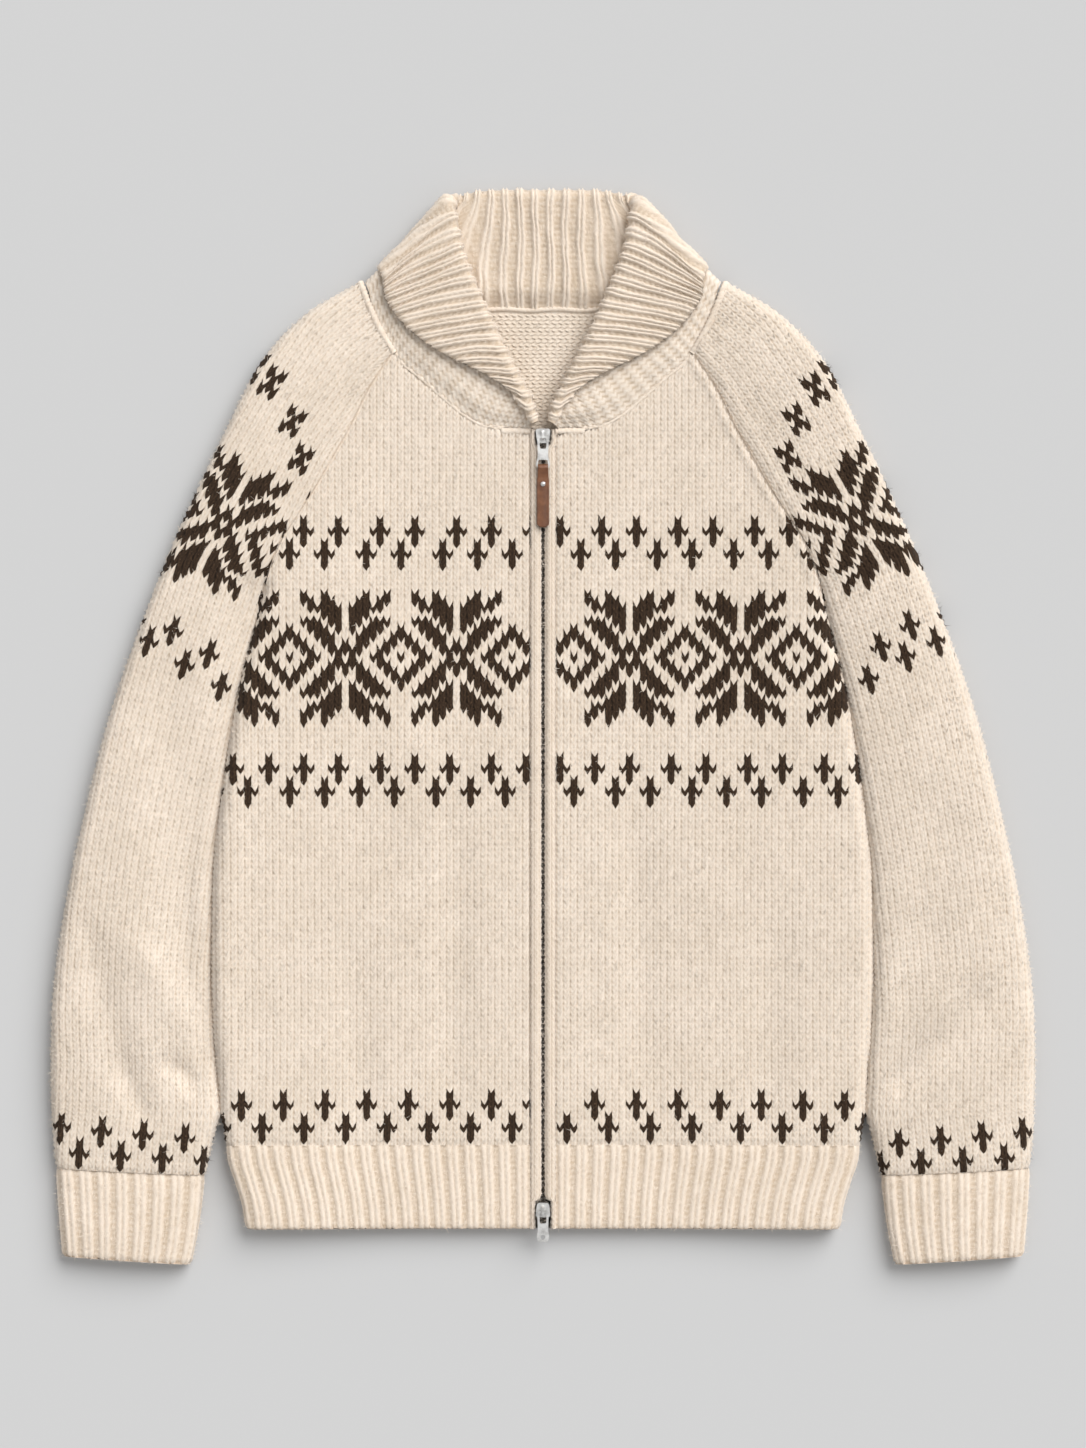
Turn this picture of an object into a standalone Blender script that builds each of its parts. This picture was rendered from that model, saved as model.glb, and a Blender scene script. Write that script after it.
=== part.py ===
"""A zip-up cardigan in heavy brushed wool, laid out flat on its back.

Raglan sleeves, a ribbed shawl collar that is folded over, ribbed cuffs and hem, knitted bands on both sides of a
two-way metal zip, and a leather pull tab. X runs across the garment (the wearer's left side is +X), Y runs from the
hem up to the collar, and Z is up from the surface that the back lies on. Tables are in millimetres.
"""
import math
from typing import NamedTuple

import bmesh
import bpy
import numpy as np
from mathutils import Matrix

MM = 0.001

# ---------------------------------------------------------------- driving sizes, in millimetres
WALL = 4.5  # heavy brushed knit
SEAM = 0.3  # gap between two sewn pieces
FRONT_MID = 12.3  # height of the fronts beside the zip
SIDE_TOP = 17.0  # height of the fronts where they roll over the side
SIDE_R = SIDE_TOP / 2
HEM_TOP_Y = -301.7  # where the hem's rib starts
HEM_Y = -361.8  # lower edge of the hem
NECK_Y = 213.4  # top of the front bands
BACK_NECK_Y = 300.0
ARMPIT_Y = 112.0
RIB_HIGH = 1.3
COLLAR_RIB_HIGH = 1.1
COLLAR_RIBS = 26  # on each half of the collar
BAND_IN = 1.4  # inner edge of a front band, beside the teeth
BAND_OUT = 9.4
BAND_TOP = 13.2
CREASE_R = 3.3  # roll of the collar's stand at the shoulder
CREASE_EASE = 1.2  # the fall stands this much further off the stand there
FOLD_R = 3.1  # roll of the collar's top edge
LAYER = WALL + SEAM

COLOURS = {  # base colour, roughness, metallic
    "cream_wool": ((0.80, 0.70, 0.58, 1), 0.95, 0.0),
    "cream_rib": ((0.78, 0.68, 0.56, 1), 0.95, 0.0),
    "zip_tape": ((0.72, 0.62, 0.50, 1), 0.9, 0.0),
    "dark_teeth": ((0.12, 0.11, 0.10, 1), 0.4, 0.9),
    "nickel": ((0.62, 0.61, 0.59, 1), 0.3, 1.0),
    "brown_leather": ((0.25, 0.11, 0.05, 1), 0.55, 0.0),
}


class Edge(NamedTuple):
    """A point of a half outline: x is the distance from the zip."""

    y: float
    x: float


SIDE_EDGE = [  # the body's side, from the hem up to the armpit
    Edge(y=-362, x=213.2), Edge(y=-345, x=216.0), Edge(y=-327, x=221.5), Edge(y=-312, x=226.5),
    Edge(y=-295, x=228.5), Edge(y=-262, x=231.5), Edge(y=-228, x=235.0), Edge(y=-175, x=236.9),
    Edge(y=-97, x=235.1), Edge(y=-55, x=229.8), Edge(y=-10, x=223.6), Edge(y=33, x=215.3),
    Edge(y=75, x=204.4), Edge(y=112, x=196.4),
]
RAGLAN = [  # the seam between front and sleeve
    Edge(y=112, x=196.6), Edge(y=133, x=187.9), Edge(y=150, x=177.3), Edge(y=171, x=163.8),
    Edge(y=193, x=151.2), Edge(y=217, x=137.6), Edge(y=242, x=125.6), Edge(y=269.6, x=107.6),
]
NECKLINE = [  # the seam between front and collar, past its level run beside the zip
    Edge(y=213.4, x=12.0), Edge(y=214.6, x=38.0), Edge(y=221, x=53.0), Edge(y=236, x=72.0),
    Edge(y=250, x=88.0), Edge(y=261, x=101.5), Edge(y=269.6, x=107.4),
]
BACK_EDGE = [  # the back piece, from its neck down the raglan to the armpit
    Edge(y=112, x=188.0), Edge(y=150, x=171.0), Edge(y=200, x=146.0), Edge(y=250, x=123.0), Edge(y=300, x=101.0),
]


class Fold(NamedTuple):
    """A soft trough (depth above 0) or ridge (below 0) along a line on the upper face."""

    x0: float
    y0: float
    x1: float
    y1: float
    width: float
    depth: float


FOLDS = [
    Fold(x0=-136, y0=-165, x1=-130, y1=-300, width=20, depth=1.9),
    Fold(x0=-63, y0=-50, x1=-70, y1=-240, width=22, depth=1.6),
    Fold(x0=66, y0=-60, x1=74, y1=-235, width=20, depth=1.6),
    Fold(x0=168, y0=-150, x1=158, y1=-300, width=18, depth=1.9),
    Fold(x0=-105, y0=60, x1=-84, y1=-80, width=24, depth=-1.0),
    Fold(x0=120, y0=40, x1=112, y1=-120, width=24, depth=-1.0),
    Fold(x0=-327, y0=-160, x1=-304, y1=-250, width=8, depth=3.0),
    Fold(x0=-308, y0=-246, x1=-290, y1=-282, width=6, depth=2.4),
    Fold(x0=-270, y0=-245, x1=-248, y1=-268, width=6, depth=2.6),
    Fold(x0=-284, y0=-166, x1=-246, y1=-236, width=12, depth=-2.2),
    Fold(x0=278, y0=-136, x1=256, y1=-205, width=9, depth=2.4),
    Fold(x0=318, y0=-198, x1=287, y1=-228, width=8, depth=3.0),
    Fold(x0=287, y0=-228, x1=250, y1=-262, width=7, depth=3.0),
    Fold(x0=300, y0=-150, x1=268, y1=-222, width=12, depth=-2.2),
]


class ArmRow(NamedTuple):
    """A section across a sleeve: its inner end, its outer end and its height."""

    in_x: float
    in_y: float
    out_x: float
    out_y: float
    back_x: float
    back_y: float
    high: float
    closed: float  # 0 along the raglan, 1 where the sleeve is a tube


ARM = [
    ArmRow(108.6, 268.4, 131.5, 319.5, 102.2, 299.2, 15.0, 0.0),
    ArmRow(126.4, 241.6, 168.0, 298.0, 112.5, 275.0, 17.0, 0.0),
    ArmRow(152.0, 192.8, 201.2, 263.5, 135.0, 225.0, 19.0, 0.0),
    ArmRow(178.1, 150.0, 231.1, 205.9, 164.0, 166.0, 20.0, 0.0),
    ArmRow(191.0, 127.5, 251.0, 164.0, 181.0, 129.0, 20.0, 0.0),
    ArmRow(198.2, 110.5, 264.5, 134.0, 198.0, 104.0, 20.0, 0.15),
    ArmRow(203.0, 91.0, 273.5, 111.5, 203.0, 91.0, 20.0, 0.7),
    ArmRow(209.6, 66.0, 284.5, 84.0, 209.6, 66.0, 20.0, 1.0),
    ArmRow(218.6, 30.0, 298.5, 46.0, 218.6, 30.0, 20.0, 1.0),
    ArmRow(226.6, -15.0, 313.0, 2.0, 226.6, -15.0, 20.5, 1.0),
    ArmRow(233.8, -65.0, 326.0, -49.0, 233.8, -65.0, 21.0, 1.0),
    ArmRow(238.2, -115.0, 338.0, -102.0, 238.2, -115.0, 21.0, 1.0),
    ArmRow(238.9, -165.0, 347.5, -156.0, 238.9, -165.0, 21.0, 1.0),
    ArmRow(237.6, -212.0, 352.8, -205.0, 237.6, -212.0, 21.0, 1.0),
    ArmRow(234.4, -250.0, 353.8, -244.0, 234.4, -250.0, 20.5, 1.0),
    ArmRow(234.0, -276.0, 353.4, -270.0, 234.0, -276.0, 20.0, 1.0),
    ArmRow(239.0, -300.0, 352.2, -294.5, 239.0, -300.0, 19.0, 1.0),
    ArmRow(244.2, -323.4, 350.0, -318.4, 244.2, -323.4, 18.0, 1.0),
]
CUFF = [
    ArmRow(244.6, -323.8, 350.0, -318.8, 244.6, -323.8, 17.0, 1.0),
    ArmRow(245.6, -336.0, 349.4, -331.0, 245.6, -336.0, 17.6, 1.0),
    ArmRow(249.0, -362.0, 347.6, -357.0, 249.0, -362.0, 17.6, 1.0),
    ArmRow(254.0, -387.6, 345.6, -381.6, 254.0, -387.6, 16.6, 1.0),
]


class CollarRow(NamedTuple):
    """One line across the collar: its neck seam, its top fold and its free edge. turn is 0 where the collar faces
    up, 90 at the shoulder and 180 behind the neck, where it faces the surface below."""

    at: float
    neck_x: float
    neck_y: float
    fold_x: float
    fold_y: float
    edge_x: float
    edge_y: float
    turn: float


COLLAR = [
    CollarRow(0.0, 12.0, 214.0, 4.8, 219.0, 7.5, 225.0, 0),
    CollarRow(2.0, 24.0, 214.2, 9.5, 234.0, 18.5, 237.5, 0),
    CollarRow(4.0, 38.0, 215.4, 17.6, 249.8, 33.5, 247.6, 0),
    CollarRow(6.0, 54.0, 222.6, 26.0, 265.5, 50.0, 256.6, 0),
    CollarRow(8.0, 72.0, 236.8, 34.0, 281.5, 67.0, 264.6, 0),
    CollarRow(10.0, 88.0, 250.8, 41.5, 298.0, 83.0, 274.2, 0),
    CollarRow(12.0, 101.0, 261.6, 49.0, 315.5, 97.0, 285.2, 0),
    CollarRow(14.0, 111.0, 274.5, 56.0, 332.5, 108.0, 298.0, 0),
    CollarRow(16.0, 118.4, 289.0, 61.0, 349.0, 114.0, 309.0, 0),
    CollarRow(17.4, 123.6, 303.6, 63.8, 365.9, 115.0, 316.0, 0),
    CollarRow(18.0, 125.6, 311.0, 64.8, 371.5, 115.0, 320.0, 0),
    CollarRow(18.5, 126.8, 316.6, 64.5, 375.3, 114.0, 322.6, 45),
    CollarRow(19.0, 127.0, 318.0, 63.2, 378.1, 112.4, 323.8, 90),
    CollarRow(19.5, 124.6, 316.6, 60.5, 379.7, 110.8, 324.4, 135),
    CollarRow(20.0, 118.5, 311.5, 56.8, 380.4, 107.5, 323.6, 180),
    CollarRow(20.7, 104.0, 302.6, 53.0, 382.0, 101.0, 321.4, 180),
    CollarRow(21.6, 66.0, 301.2, 46.0, 383.4, 82.0, 318.5, 180),
    CollarRow(23.4, 30.0, 300.6, 28.0, 384.6, 46.0, 315.0, 180),
    CollarRow(26.0, 0.0, 300.5, 0.0, 384.6, 0.0, 314.0, 180),
]


# ---------------------------------------------------------------- curves and heights
def curve(keys, values):
    """Smooth curve through the points that never overshoots them."""
    keys, values = np.array(keys, float), np.array(values, float)
    order = np.argsort(keys)
    keys, values = keys[order], values[order]
    slope = np.diff(values) / np.diff(keys)
    tangent = np.zeros(len(keys))
    tangent[0], tangent[-1] = slope[0], slope[-1]
    for i in range(1, len(keys) - 1):
        if slope[i - 1] * slope[i] > 0:
            tangent[i] = 2 * slope[i - 1] * slope[i] / (slope[i - 1] + slope[i])

    def at(key):
        key = min(max(key, keys[0]), keys[-1])
        i = min(int(np.searchsorted(keys, key, side="right")) - 1, len(keys) - 2)
        step = keys[i + 1] - keys[i]
        t = (key - keys[i]) / step
        return float(
            values[i] * (1 + 2 * t) * (1 - t) ** 2
            + tangent[i] * step * t * (1 - t) ** 2
            + values[i + 1] * t * t * (3 - 2 * t)
            + tangent[i + 1] * step * t * t * (t - 1)
        )

    return at


def edge_curve(table):
    return curve([row.y for row in table], [row.x for row in table])


side_edge = edge_curve(SIDE_EDGE)
raglan = edge_curve(RAGLAN)
neckline = edge_curve(NECKLINE)
back_edge = edge_curve(BACK_EDGE)


def ramp(low, high, value):
    """0 below low, 1 above high, smooth between."""
    t = min(max((value - low) / (high - low), 0.0), 1.0)
    return t * t * (3 - 2 * t)


def folds(x, y):
    """How far the creases lower the upper face at a point."""
    drop = 0.0
    for fold in FOLDS:
        run_x, run_y = fold.x1 - fold.x0, fold.y1 - fold.y0
        length = math.hypot(run_x, run_y)
        along = ((x - fold.x0) * run_x + (y - fold.y0) * run_y) / length**2
        if not -0.3 < along < 1.3:
            continue
        across = ((x - fold.x0) * run_y - (y - fold.y0) * run_x) / length
        fade = ramp(-0.3, 0.25, along) * (1 - ramp(0.75, 1.3, along))
        drop += fold.depth * fade * math.exp(-((across / fold.width) ** 2))
    return drop


def front_top(x, y):
    """Height of the fronts' outer face."""
    reach = abs(x) / (190.0 if y > ARMPIT_Y else side_edge(y) - SIDE_R)
    return FRONT_MID + (SIDE_TOP - FRONT_MID) * ramp(0.4, 1.0, reach) - folds(x, y)


# ---------------------------------------------------------------- building blocks
def new_object(name, mesh, colour):
    shade = bpy.data.materials.get(colour) or bpy.data.materials.new(colour)
    base, rough, metal = COLOURS[colour]
    shade.use_nodes = True
    surface = shade.node_tree.nodes["Principled BSDF"]
    surface.inputs["Base Color"].default_value = base
    surface.inputs["Roughness"].default_value = rough
    surface.inputs["Metallic"].default_value = metal
    mesh.materials.clear()
    mesh.materials.append(shade)
    thing = bpy.data.objects.new(name, mesh)
    bpy.data.collections["cardigan"].objects.link(thing)
    return thing


def cloth_wall(name, outer, inner, colour):
    """A closed wall between two grids of points, outer and inner, in millimetres."""
    outer, inner = np.array(outer, float), np.array(inner, float)
    rows, columns = outer.shape[:2]
    points = np.concatenate([outer.reshape(-1, 3), inner.reshape(-1, 3)]) * MM
    back = rows * columns

    def at(i, j, side=0):
        return side * back + i * columns + j

    faces = []
    for i in range(rows - 1):
        for j in range(columns - 1):
            faces.append((at(i, j), at(i, j + 1), at(i + 1, j + 1), at(i + 1, j)))
            faces.append((at(i, j, 1), at(i + 1, j, 1), at(i + 1, j + 1, 1), at(i, j + 1, 1)))
    for i in range(rows - 1):
        faces.append((at(i, 0), at(i + 1, 0), at(i + 1, 0, 1), at(i, 0, 1)))
        last = columns - 1
        faces.append((at(i, last), at(i, last, 1), at(i + 1, last, 1), at(i + 1, last)))
    for j in range(columns - 1):
        faces.append((at(0, j), at(0, j, 1), at(0, j + 1, 1), at(0, j + 1)))
        last = rows - 1
        faces.append((at(last, j), at(last, j + 1), at(last, j + 1, 1), at(last, j, 1)))
    mesh = bpy.data.meshes.new(name)
    mesh.from_pydata([tuple(p) for p in points], [], faces)
    shell = bmesh.new()
    shell.from_mesh(mesh)
    bmesh.ops.recalc_face_normals(shell, faces=shell.faces)
    shell.to_mesh(mesh)
    shell.free()
    mesh.shade_smooth()
    mesh.set_sharp_from_angle(angle=math.radians(50))
    return new_object(name, mesh, colour)


def walk(path, stops):
    """Points and normals at distances along a path of (point, normal) pairs."""
    points = np.array([point for point, _ in path], float)
    normals = np.array([normal for _, normal in path], float)
    gone = np.concatenate([[0.0], np.cumsum(np.linalg.norm(np.diff(points, axis=0), axis=1))])
    stops = np.clip(stops, 0.0, gone[-1])
    at = np.stack([np.interp(stops, gone, points[:, k]) for k in range(3)], axis=1)
    facing = np.stack([np.interp(stops, gone, normals[:, k]) for k in range(3)], axis=1)
    return at, facing / np.linalg.norm(facing, axis=1, keepdims=True)


def length_of(path):
    points = np.array([point for point, _ in path], float)
    return float(np.linalg.norm(np.diff(points, axis=0), axis=1).sum())


def arc(centre, radius, across, start, end, steps):
    """Path round a roll of cloth: centre is a point, across its level direction, angles in degrees, 90 is up."""
    path = []
    for k in range(steps + 1):
        angle = math.radians(start + (end - start) * k / steps)
        normal = (across[0] * math.cos(angle), across[1] * math.cos(angle), math.sin(angle))
        path.append((tuple(centre[i] + radius * normal[i] for i in range(3)), normal))
    return path


RIB_PARTS = (0.0, 0.22, 0.78)  # trough, then the two edges of the raised rib, as parts of the pitch


def rib_stops(count):
    """Stops across a ribbed piece as parts of its length."""
    return [(k + part) / count for k in range(count) for part in RIB_PARTS] + [1.0]


def rib_heights(count, high):
    """How far each of those stops is raised, as a column."""
    return np.array([high if part else 0.0 for _ in range(count) for part in RIB_PARTS] + [0.0])[:, None]


# ---------------------------------------------------------------- body
UP = (0.0, 0.0, 1.0)
ROLL = math.pi * SIDE_R  # length of cloth in the roll over a side


def front_path(y, side):
    """Across one front at a height y: from the band to the side seam underneath, or to the raglan seam."""
    inner_x = BAND_OUT + SEAM if y <= NECK_Y else neckline(y + FRONT_DROP) + SEAM / 2
    sweep = 180 * (1 - ramp(ARMPIT_Y - 26, ARMPIT_Y, y))
    if y <= ARMPIT_Y:
        outer_x = side_edge(y) - SIDE_R * math.sin(math.radians(min(sweep, 90)))
    else:
        outer_x = raglan(y) - SEAM / 2
    path = []
    for k in range(25):
        x = inner_x + (outer_x - inner_x) * k / 24
        path.append(((x * side, y, front_top(x * side, y)), UP))
    if y < ARMPIT_Y:
        centre = (outer_x * side, y, SIDE_R)
        path += arc(centre, SIDE_R, (side, 0), 90, 90 - sweep, 10)[1:]
    return path


def front_stops(path, level_steps, roll_steps):
    """Even stops across the level part, closer ones in the roll."""
    length = length_of(path)
    roll = min(ROLL, 0.4 * length)
    level = [(length - roll) * k / level_steps for k in range(level_steps)]
    return level + [length - roll + roll * k / roll_steps for k in range(roll_steps + 1)]


FRONT_ROWS = (HEM_TOP_Y + SEAM / 2, -282, -258, -230, -200, -168, -134, -100, -66, -32, 2, 36, 66, 86, 95, 104, 112,
              130, 150, 171, 192, 206, NECK_Y - 0.8, NECK_Y + 0.6, 222, 236, 250, 260, 267)
FRONT_DROP = 0.6  # the fronts end this far below the neck seam
HEM_ROWS = (HEM_Y, -346, -325, HEM_TOP_Y - SEAM / 2)
HEM_RIBS = 19  # on each front
CUFF_RIBS = 10  # over the top and round the outer edge of a cuff


def build_front(name, side):
    outer, inner = [], []
    for y in FRONT_ROWS:
        path = front_path(y, side)
        at, facing = walk(path, front_stops(path, 8, 5))
        outer.append(at)
        inner.append(at - facing * WALL)
    return cloth_wall(name, outer, inner, "cream_wool")


def build_hem_front(name, side):
    outer, inner = [], []
    for y in HEM_ROWS:
        path = front_path(y, side)
        length = length_of(path)
        at, facing = walk(path, [length * part for part in rib_stops(HEM_RIBS)])
        clear_of_floor = np.clip(at[:, 2:] / SIDE_R, 0.0, 1.0)
        outer.append(at + facing * rib_heights(HEM_RIBS, RIB_HIGH) * clear_of_floor)
        inner.append(at - facing * WALL)
    return cloth_wall(name, outer, inner, "cream_rib")


def back_half_width(y):
    if y >= ARMPIT_Y:
        return back_edge(y)
    return side_edge(y) - SIDE_R - SEAM


def build_flat(name, rows, columns, colour):
    """A piece of the back, which lies flat on the surface."""
    across = [2 * k / columns - 1 for k in range(columns + 1)]
    upper = [[(back_half_width(y) * part, y, WALL) for part in across] for y in rows]
    lower = [[(x, y, 0.0) for x, y, _ in row] for row in upper]
    return cloth_wall(name, upper, lower, colour)


# ---------------------------------------------------------------- sleeves and cuffs
class Smooth:
    """Smooth curves through the rows of a table, one for each column."""

    def __init__(self, table, keys):
        self.row = type(table[0])
        self.curves = [curve(keys, column) for column in zip(*table)]

    def at(self, key):
        return self.row(*(one(key) for one in self.curves))


ARM_SHAPE = Smooth(ARM, [row.in_y for row in ARM])
SLEEVE_ROWS = [ARM[0].in_y] + [y for y in FRONT_ROWS if y >= ARMPIT_Y][::-1][1:]
SLEEVE_ROWS += [row.in_y for row in ARM if row.in_y < ARMPIT_Y - 5]
EDGE_SHARE = 0.42  # roll of a sleeve's edges as a part of its height
NECK_BOW = 2.2  # the sleeve's neck edge curves in by this much


def arm_path(row, side, bow=0.0):
    """Round a sleeve: from its front seam over the top, round the outer edge and back along the surface.

    Returns the path, the length of its upper stretch and the length of its turn round the outer edge."""
    start = np.array([row.in_x, row.in_y])
    end = np.array([row.out_x, row.out_y])
    width = float(np.linalg.norm(end - start))
    across = (end - start) / width
    bowed = np.array([across[1], -across[0]]) * bow
    roll = EDGE_SHARE * row.high
    seam_z = front_top(row.in_x * side, row.in_y)
    start_z = seam_z + (2 * roll - seam_z) * ramp(0.0, 1.0, row.closed)
    sweep = 180 * row.closed
    start_w = start_z / 2 * math.sin(math.radians(min(sweep, 90)))
    end_w = width - roll

    def plan(w):
        part = min(max(w / width, 0.0), 1.0)
        x, y = start + across * w + bowed * 4 * part * (1 - part)
        return x * side, y

    level = (across[0] * side, across[1])
    path = []
    if row.closed > 0:
        path += arc((*plan(start_w), start_z / 2), start_z / 2, level, 90 + sweep, 90, 10)[:-1]
    for k in range(25):
        part = k / 24
        x, y = plan(start_w + (end_w - start_w) * part)
        rise = (2 * roll - start_z) * ramp(0.0, 0.7, part)
        crown = (row.high - 2 * roll) * (4 * part * (1 - part)) ** 0.8
        crease = folds(x, y) * ramp(0.0, 0.15, part) * ramp(0.0, 0.15, 1 - part)
        path.append(((x, y, start_z + rise + crown - crease), UP))
    path += arc((*plan(end_w), roll), roll, level, 90, -90, 10)[1:]
    round_length = length_of(path[:-10])
    turn_length = length_of(path) - round_length
    back = np.array([row.back_x, row.back_y])
    under = start + across * (start_z / 2 + SEAM)
    stop = back + (under - back) * ramp(0.6, 1.0, row.closed)
    path.append(((stop[0] * side, stop[1], 0.0), (0.0, 0.0, -1.0)))
    return path, round_length, turn_length


def arm_stops(path, round_length, turn_length, level_steps, turn_steps, under_steps):
    """Stops round a sleeve, closer over its two rolled edges."""
    near = min(ROLL, 0.4 * round_length)
    stops = [near * k / level_steps for k in range(level_steps)]
    stops += [near + (round_length - near) * k / level_steps for k in range(level_steps)]
    stops += [round_length + turn_length * k / turn_steps for k in range(turn_steps)]
    rest = length_of(path) - round_length - turn_length
    return stops + [round_length + turn_length + rest * k / under_steps for k in range(under_steps + 1)]


def build_sleeve(name, side):
    outer, inner = [], []
    for y in SLEEVE_ROWS:
        row = ARM_SHAPE.at(y)
        if y >= ARMPIT_Y:
            row = row._replace(in_x=raglan(y) + SEAM / 2)
        path, over, turn = arm_path(row, side, NECK_BOW * ramp(ARM[1].in_y, ARM[0].in_y, y))
        at, facing = walk(path, arm_stops(path, over, turn, 5, 5, 3))
        outer.append(at)
        inner.append(at - facing * WALL)
    return cloth_wall(name, outer, inner, "cream_wool")


def build_cuff(name, side):
    outer, inner = [], []
    for row in CUFF:
        path, over, turn = arm_path(row, side)
        ribbed = over + turn
        rest = length_of(path) - ribbed
        plain = [ribbed + rest * part for part in (0.5, 1.0)]
        at, facing = walk(path, [ribbed * part for part in rib_stops(CUFF_RIBS)] + plain)
        raised = np.concatenate([rib_heights(CUFF_RIBS, RIB_HIGH), np.zeros((len(plain), 1))])
        clear_of_floor = np.clip(at[:, 2:] / SIDE_R, 0.0, 1.0)
        outer.append(at + facing * raised * clear_of_floor)
        inner.append(at - facing * WALL)
    return cloth_wall(name, outer, inner, "cream_rib")


# ---------------------------------------------------------------- collar
COLLAR_SHAPE = Smooth(COLLAR, [row.at for row in COLLAR])
SHOULDER_OUT = np.array([0.74, 0.67])  # level direction away from the neck at the shoulder
STAND_Z = WALL / 2 + LAYER  # middle of the stand behind the neck, above the folded part
STAND_PARTS = (0.0, 0.16, 0.5, 1.0)
FALL_PARTS = (0.0, 0.5, 1.0)
NECK_GAP = 0.9  # the stand starts this far inside the neck seam
RISE_LONG = 14.0  # length over which the stand rises from the seam
FOLD_ANGLES = (45, 90, 135)
STAND_RIBS_FROM = 20.5  # place on the collar where the stand's ribs come into view


def collar_line(at, side):
    """Middle of the collar's wall from the neck seam, up the stand, over the fold and down to the free edge."""
    row = COLLAR_SHAPE.at(at)
    up, out = math.cos(math.radians(row.turn)), math.sin(math.radians(row.turn))
    over = np.array([SHOULDER_OUT[0] * out * side, SHOULDER_OUT[1] * out, up])
    neck = np.array([row.neck_x * side, row.neck_y, 0.0])
    fold = np.array([row.fold_x * side, row.fold_y, 0.0])
    edge = np.array([row.edge_x * side, row.edge_y, 0.0])
    ahead = (fold - neck) / np.linalg.norm(fold - neck)
    neck += ahead * NECK_GAP
    turn_in = fold - ahead * (FOLD_R + COLLAR_RIB_HIGH / 2)
    rise = min(1.0, RISE_LONG / np.linalg.norm(turn_in - neck))
    stand_z = STAND_Z + CREASE_R * (1 + up)
    front_z = front_top(neck[0], neck[1]) - WALL / 2
    neck_z = WALL / 2 + (front_z - WALL / 2) * (1 + up) / 2
    spare = 2 * FOLD_R - LAYER  # the fold is rounder than the layers beyond it
    line = []
    for part in STAND_PARTS:
        point = neck + (turn_in - neck) * part
        point[2] = neck_z + (stand_z - neck_z) * ramp(0.0, rise, part)
        line.append(point - over * spare * (1 - up) / 2 * ramp(0.4, 1.0, part))
    low = line[-1]
    for angle in FOLD_ANGLES:
        turn = math.radians(angle)
        line.append(low + over * FOLD_R * (1 - math.cos(turn)) + ahead * FOLD_R * math.sin(turn))
    high = low + over * 2 * FOLD_R
    end = edge + np.array([0.0, 0.0, stand_z]) + over * (LAYER + CREASE_EASE * out)
    for part in FALL_PARTS:
        line.append(high + (end - high) * part)
    return line


def collar_rib_height(column, line):
    """Height of a rib at a half rib's place and a line of the collar. The stand shows its ribs behind the neck only,
    because in front the fall hides them."""
    if column % 2 == 0:
        return 0.0
    if line < len(STAND_PARTS) - 1:
        return COLLAR_RIB_HIGH * ramp(STAND_RIBS_FROM, STAND_RIBS_FROM + 2, column / 2)
    return COLLAR_RIB_HIGH


def build_collar():
    steps = 2 * COLLAR_RIBS
    right = [collar_line(k / 2, -1) for k in range(steps + 1)]
    left = [collar_line(k / 2, 1) for k in range(steps)]
    middle = np.array(right + left[::-1])
    across = np.gradient(middle, axis=0)
    along = np.gradient(middle, axis=1)
    facing = np.cross(across, along)
    facing /= np.linalg.norm(facing, axis=2, keepdims=True)
    columns = list(range(steps + 1)) + list(range(steps))[::-1]
    high = np.array([[collar_rib_height(k, line) for line in range(middle.shape[1])] for k in columns])
    clear_of_floor = np.clip((middle[..., 2:] + facing[..., 2:] * WALL / 2) / 3.0, 0.0, 1.0)
    shown = middle + facing * (WALL / 2 + high[..., None] * clear_of_floor)
    hidden = middle - facing * WALL / 2
    return cloth_wall("collar", shown, hidden, "cream_rib")


# ---------------------------------------------------------------- zip
SLIDER_LONG = 10.4
SLIDER_WIDE = 10.8
TOP_SLIDER_Y = 208.6
BOTTOM_SLIDER_Y = -348.0
CHAIN_TOP = 9.1
CHAIN_LOW = 6.3
PLATE_LOW = BAND_TOP + 0.3
PULL_Z = 16.3  # middle of the metal pulls' thickness
PULL_THICK = 1.5
PIN_AHEAD = 1.0  # the pull's pivot lies this far from the slider's middle
NOTCH = SLIDER_WIDE / 2 + 0.5  # half width of the gap that the bands leave for a slider


def band_inner_x(y):
    """The bands part round each slider."""
    at_top = ramp(TOP_SLIDER_Y - SLIDER_LONG / 2 - 3, TOP_SLIDER_Y - SLIDER_LONG / 2 - 0.6, y)
    at_bottom = 1 - ramp(BOTTOM_SLIDER_Y + SLIDER_LONG / 2 + 0.6, BOTTOM_SLIDER_Y + SLIDER_LONG / 2 + 3, y)
    return BAND_IN + (NOTCH - BAND_IN) * max(at_top, at_bottom)


def build_band(name, side):
    bottom_notch = [BOTTOM_SLIDER_Y + SLIDER_LONG / 2 + gap for gap in (0.6, 3.0)]
    top_notch = [TOP_SLIDER_Y - SLIDER_LONG / 2 - gap for gap in (3.0, 0.6)]
    rows = [HEM_Y, *bottom_notch] + [-300 + 60 * k for k in range(9)] + top_notch + [NECK_Y]
    upper, lower = [], []
    for y in rows:
        inner_x = band_inner_x(y)
        lip_x = max(3.1, inner_x + 0.5)
        stops = [inner_x, lip_x, max(3.4, lip_x + 0.4), BAND_OUT - 1.2, BAND_OUT]
        tops = [BAND_TOP - 0.7, BAND_TOP - 0.1, BAND_TOP, BAND_TOP - 0.1, BAND_TOP - 0.9]
        lows = [CHAIN_TOP + SEAM, CHAIN_TOP + SEAM, 7.5, 7.5, 7.5]
        upper.append([(x * side, y, z) for x, z in zip(stops, tops)])
        lower.append([(x * side, y, z) for x, z in zip(stops, lows)])
    return cloth_wall(name, upper, lower, "cream_rib")


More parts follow.
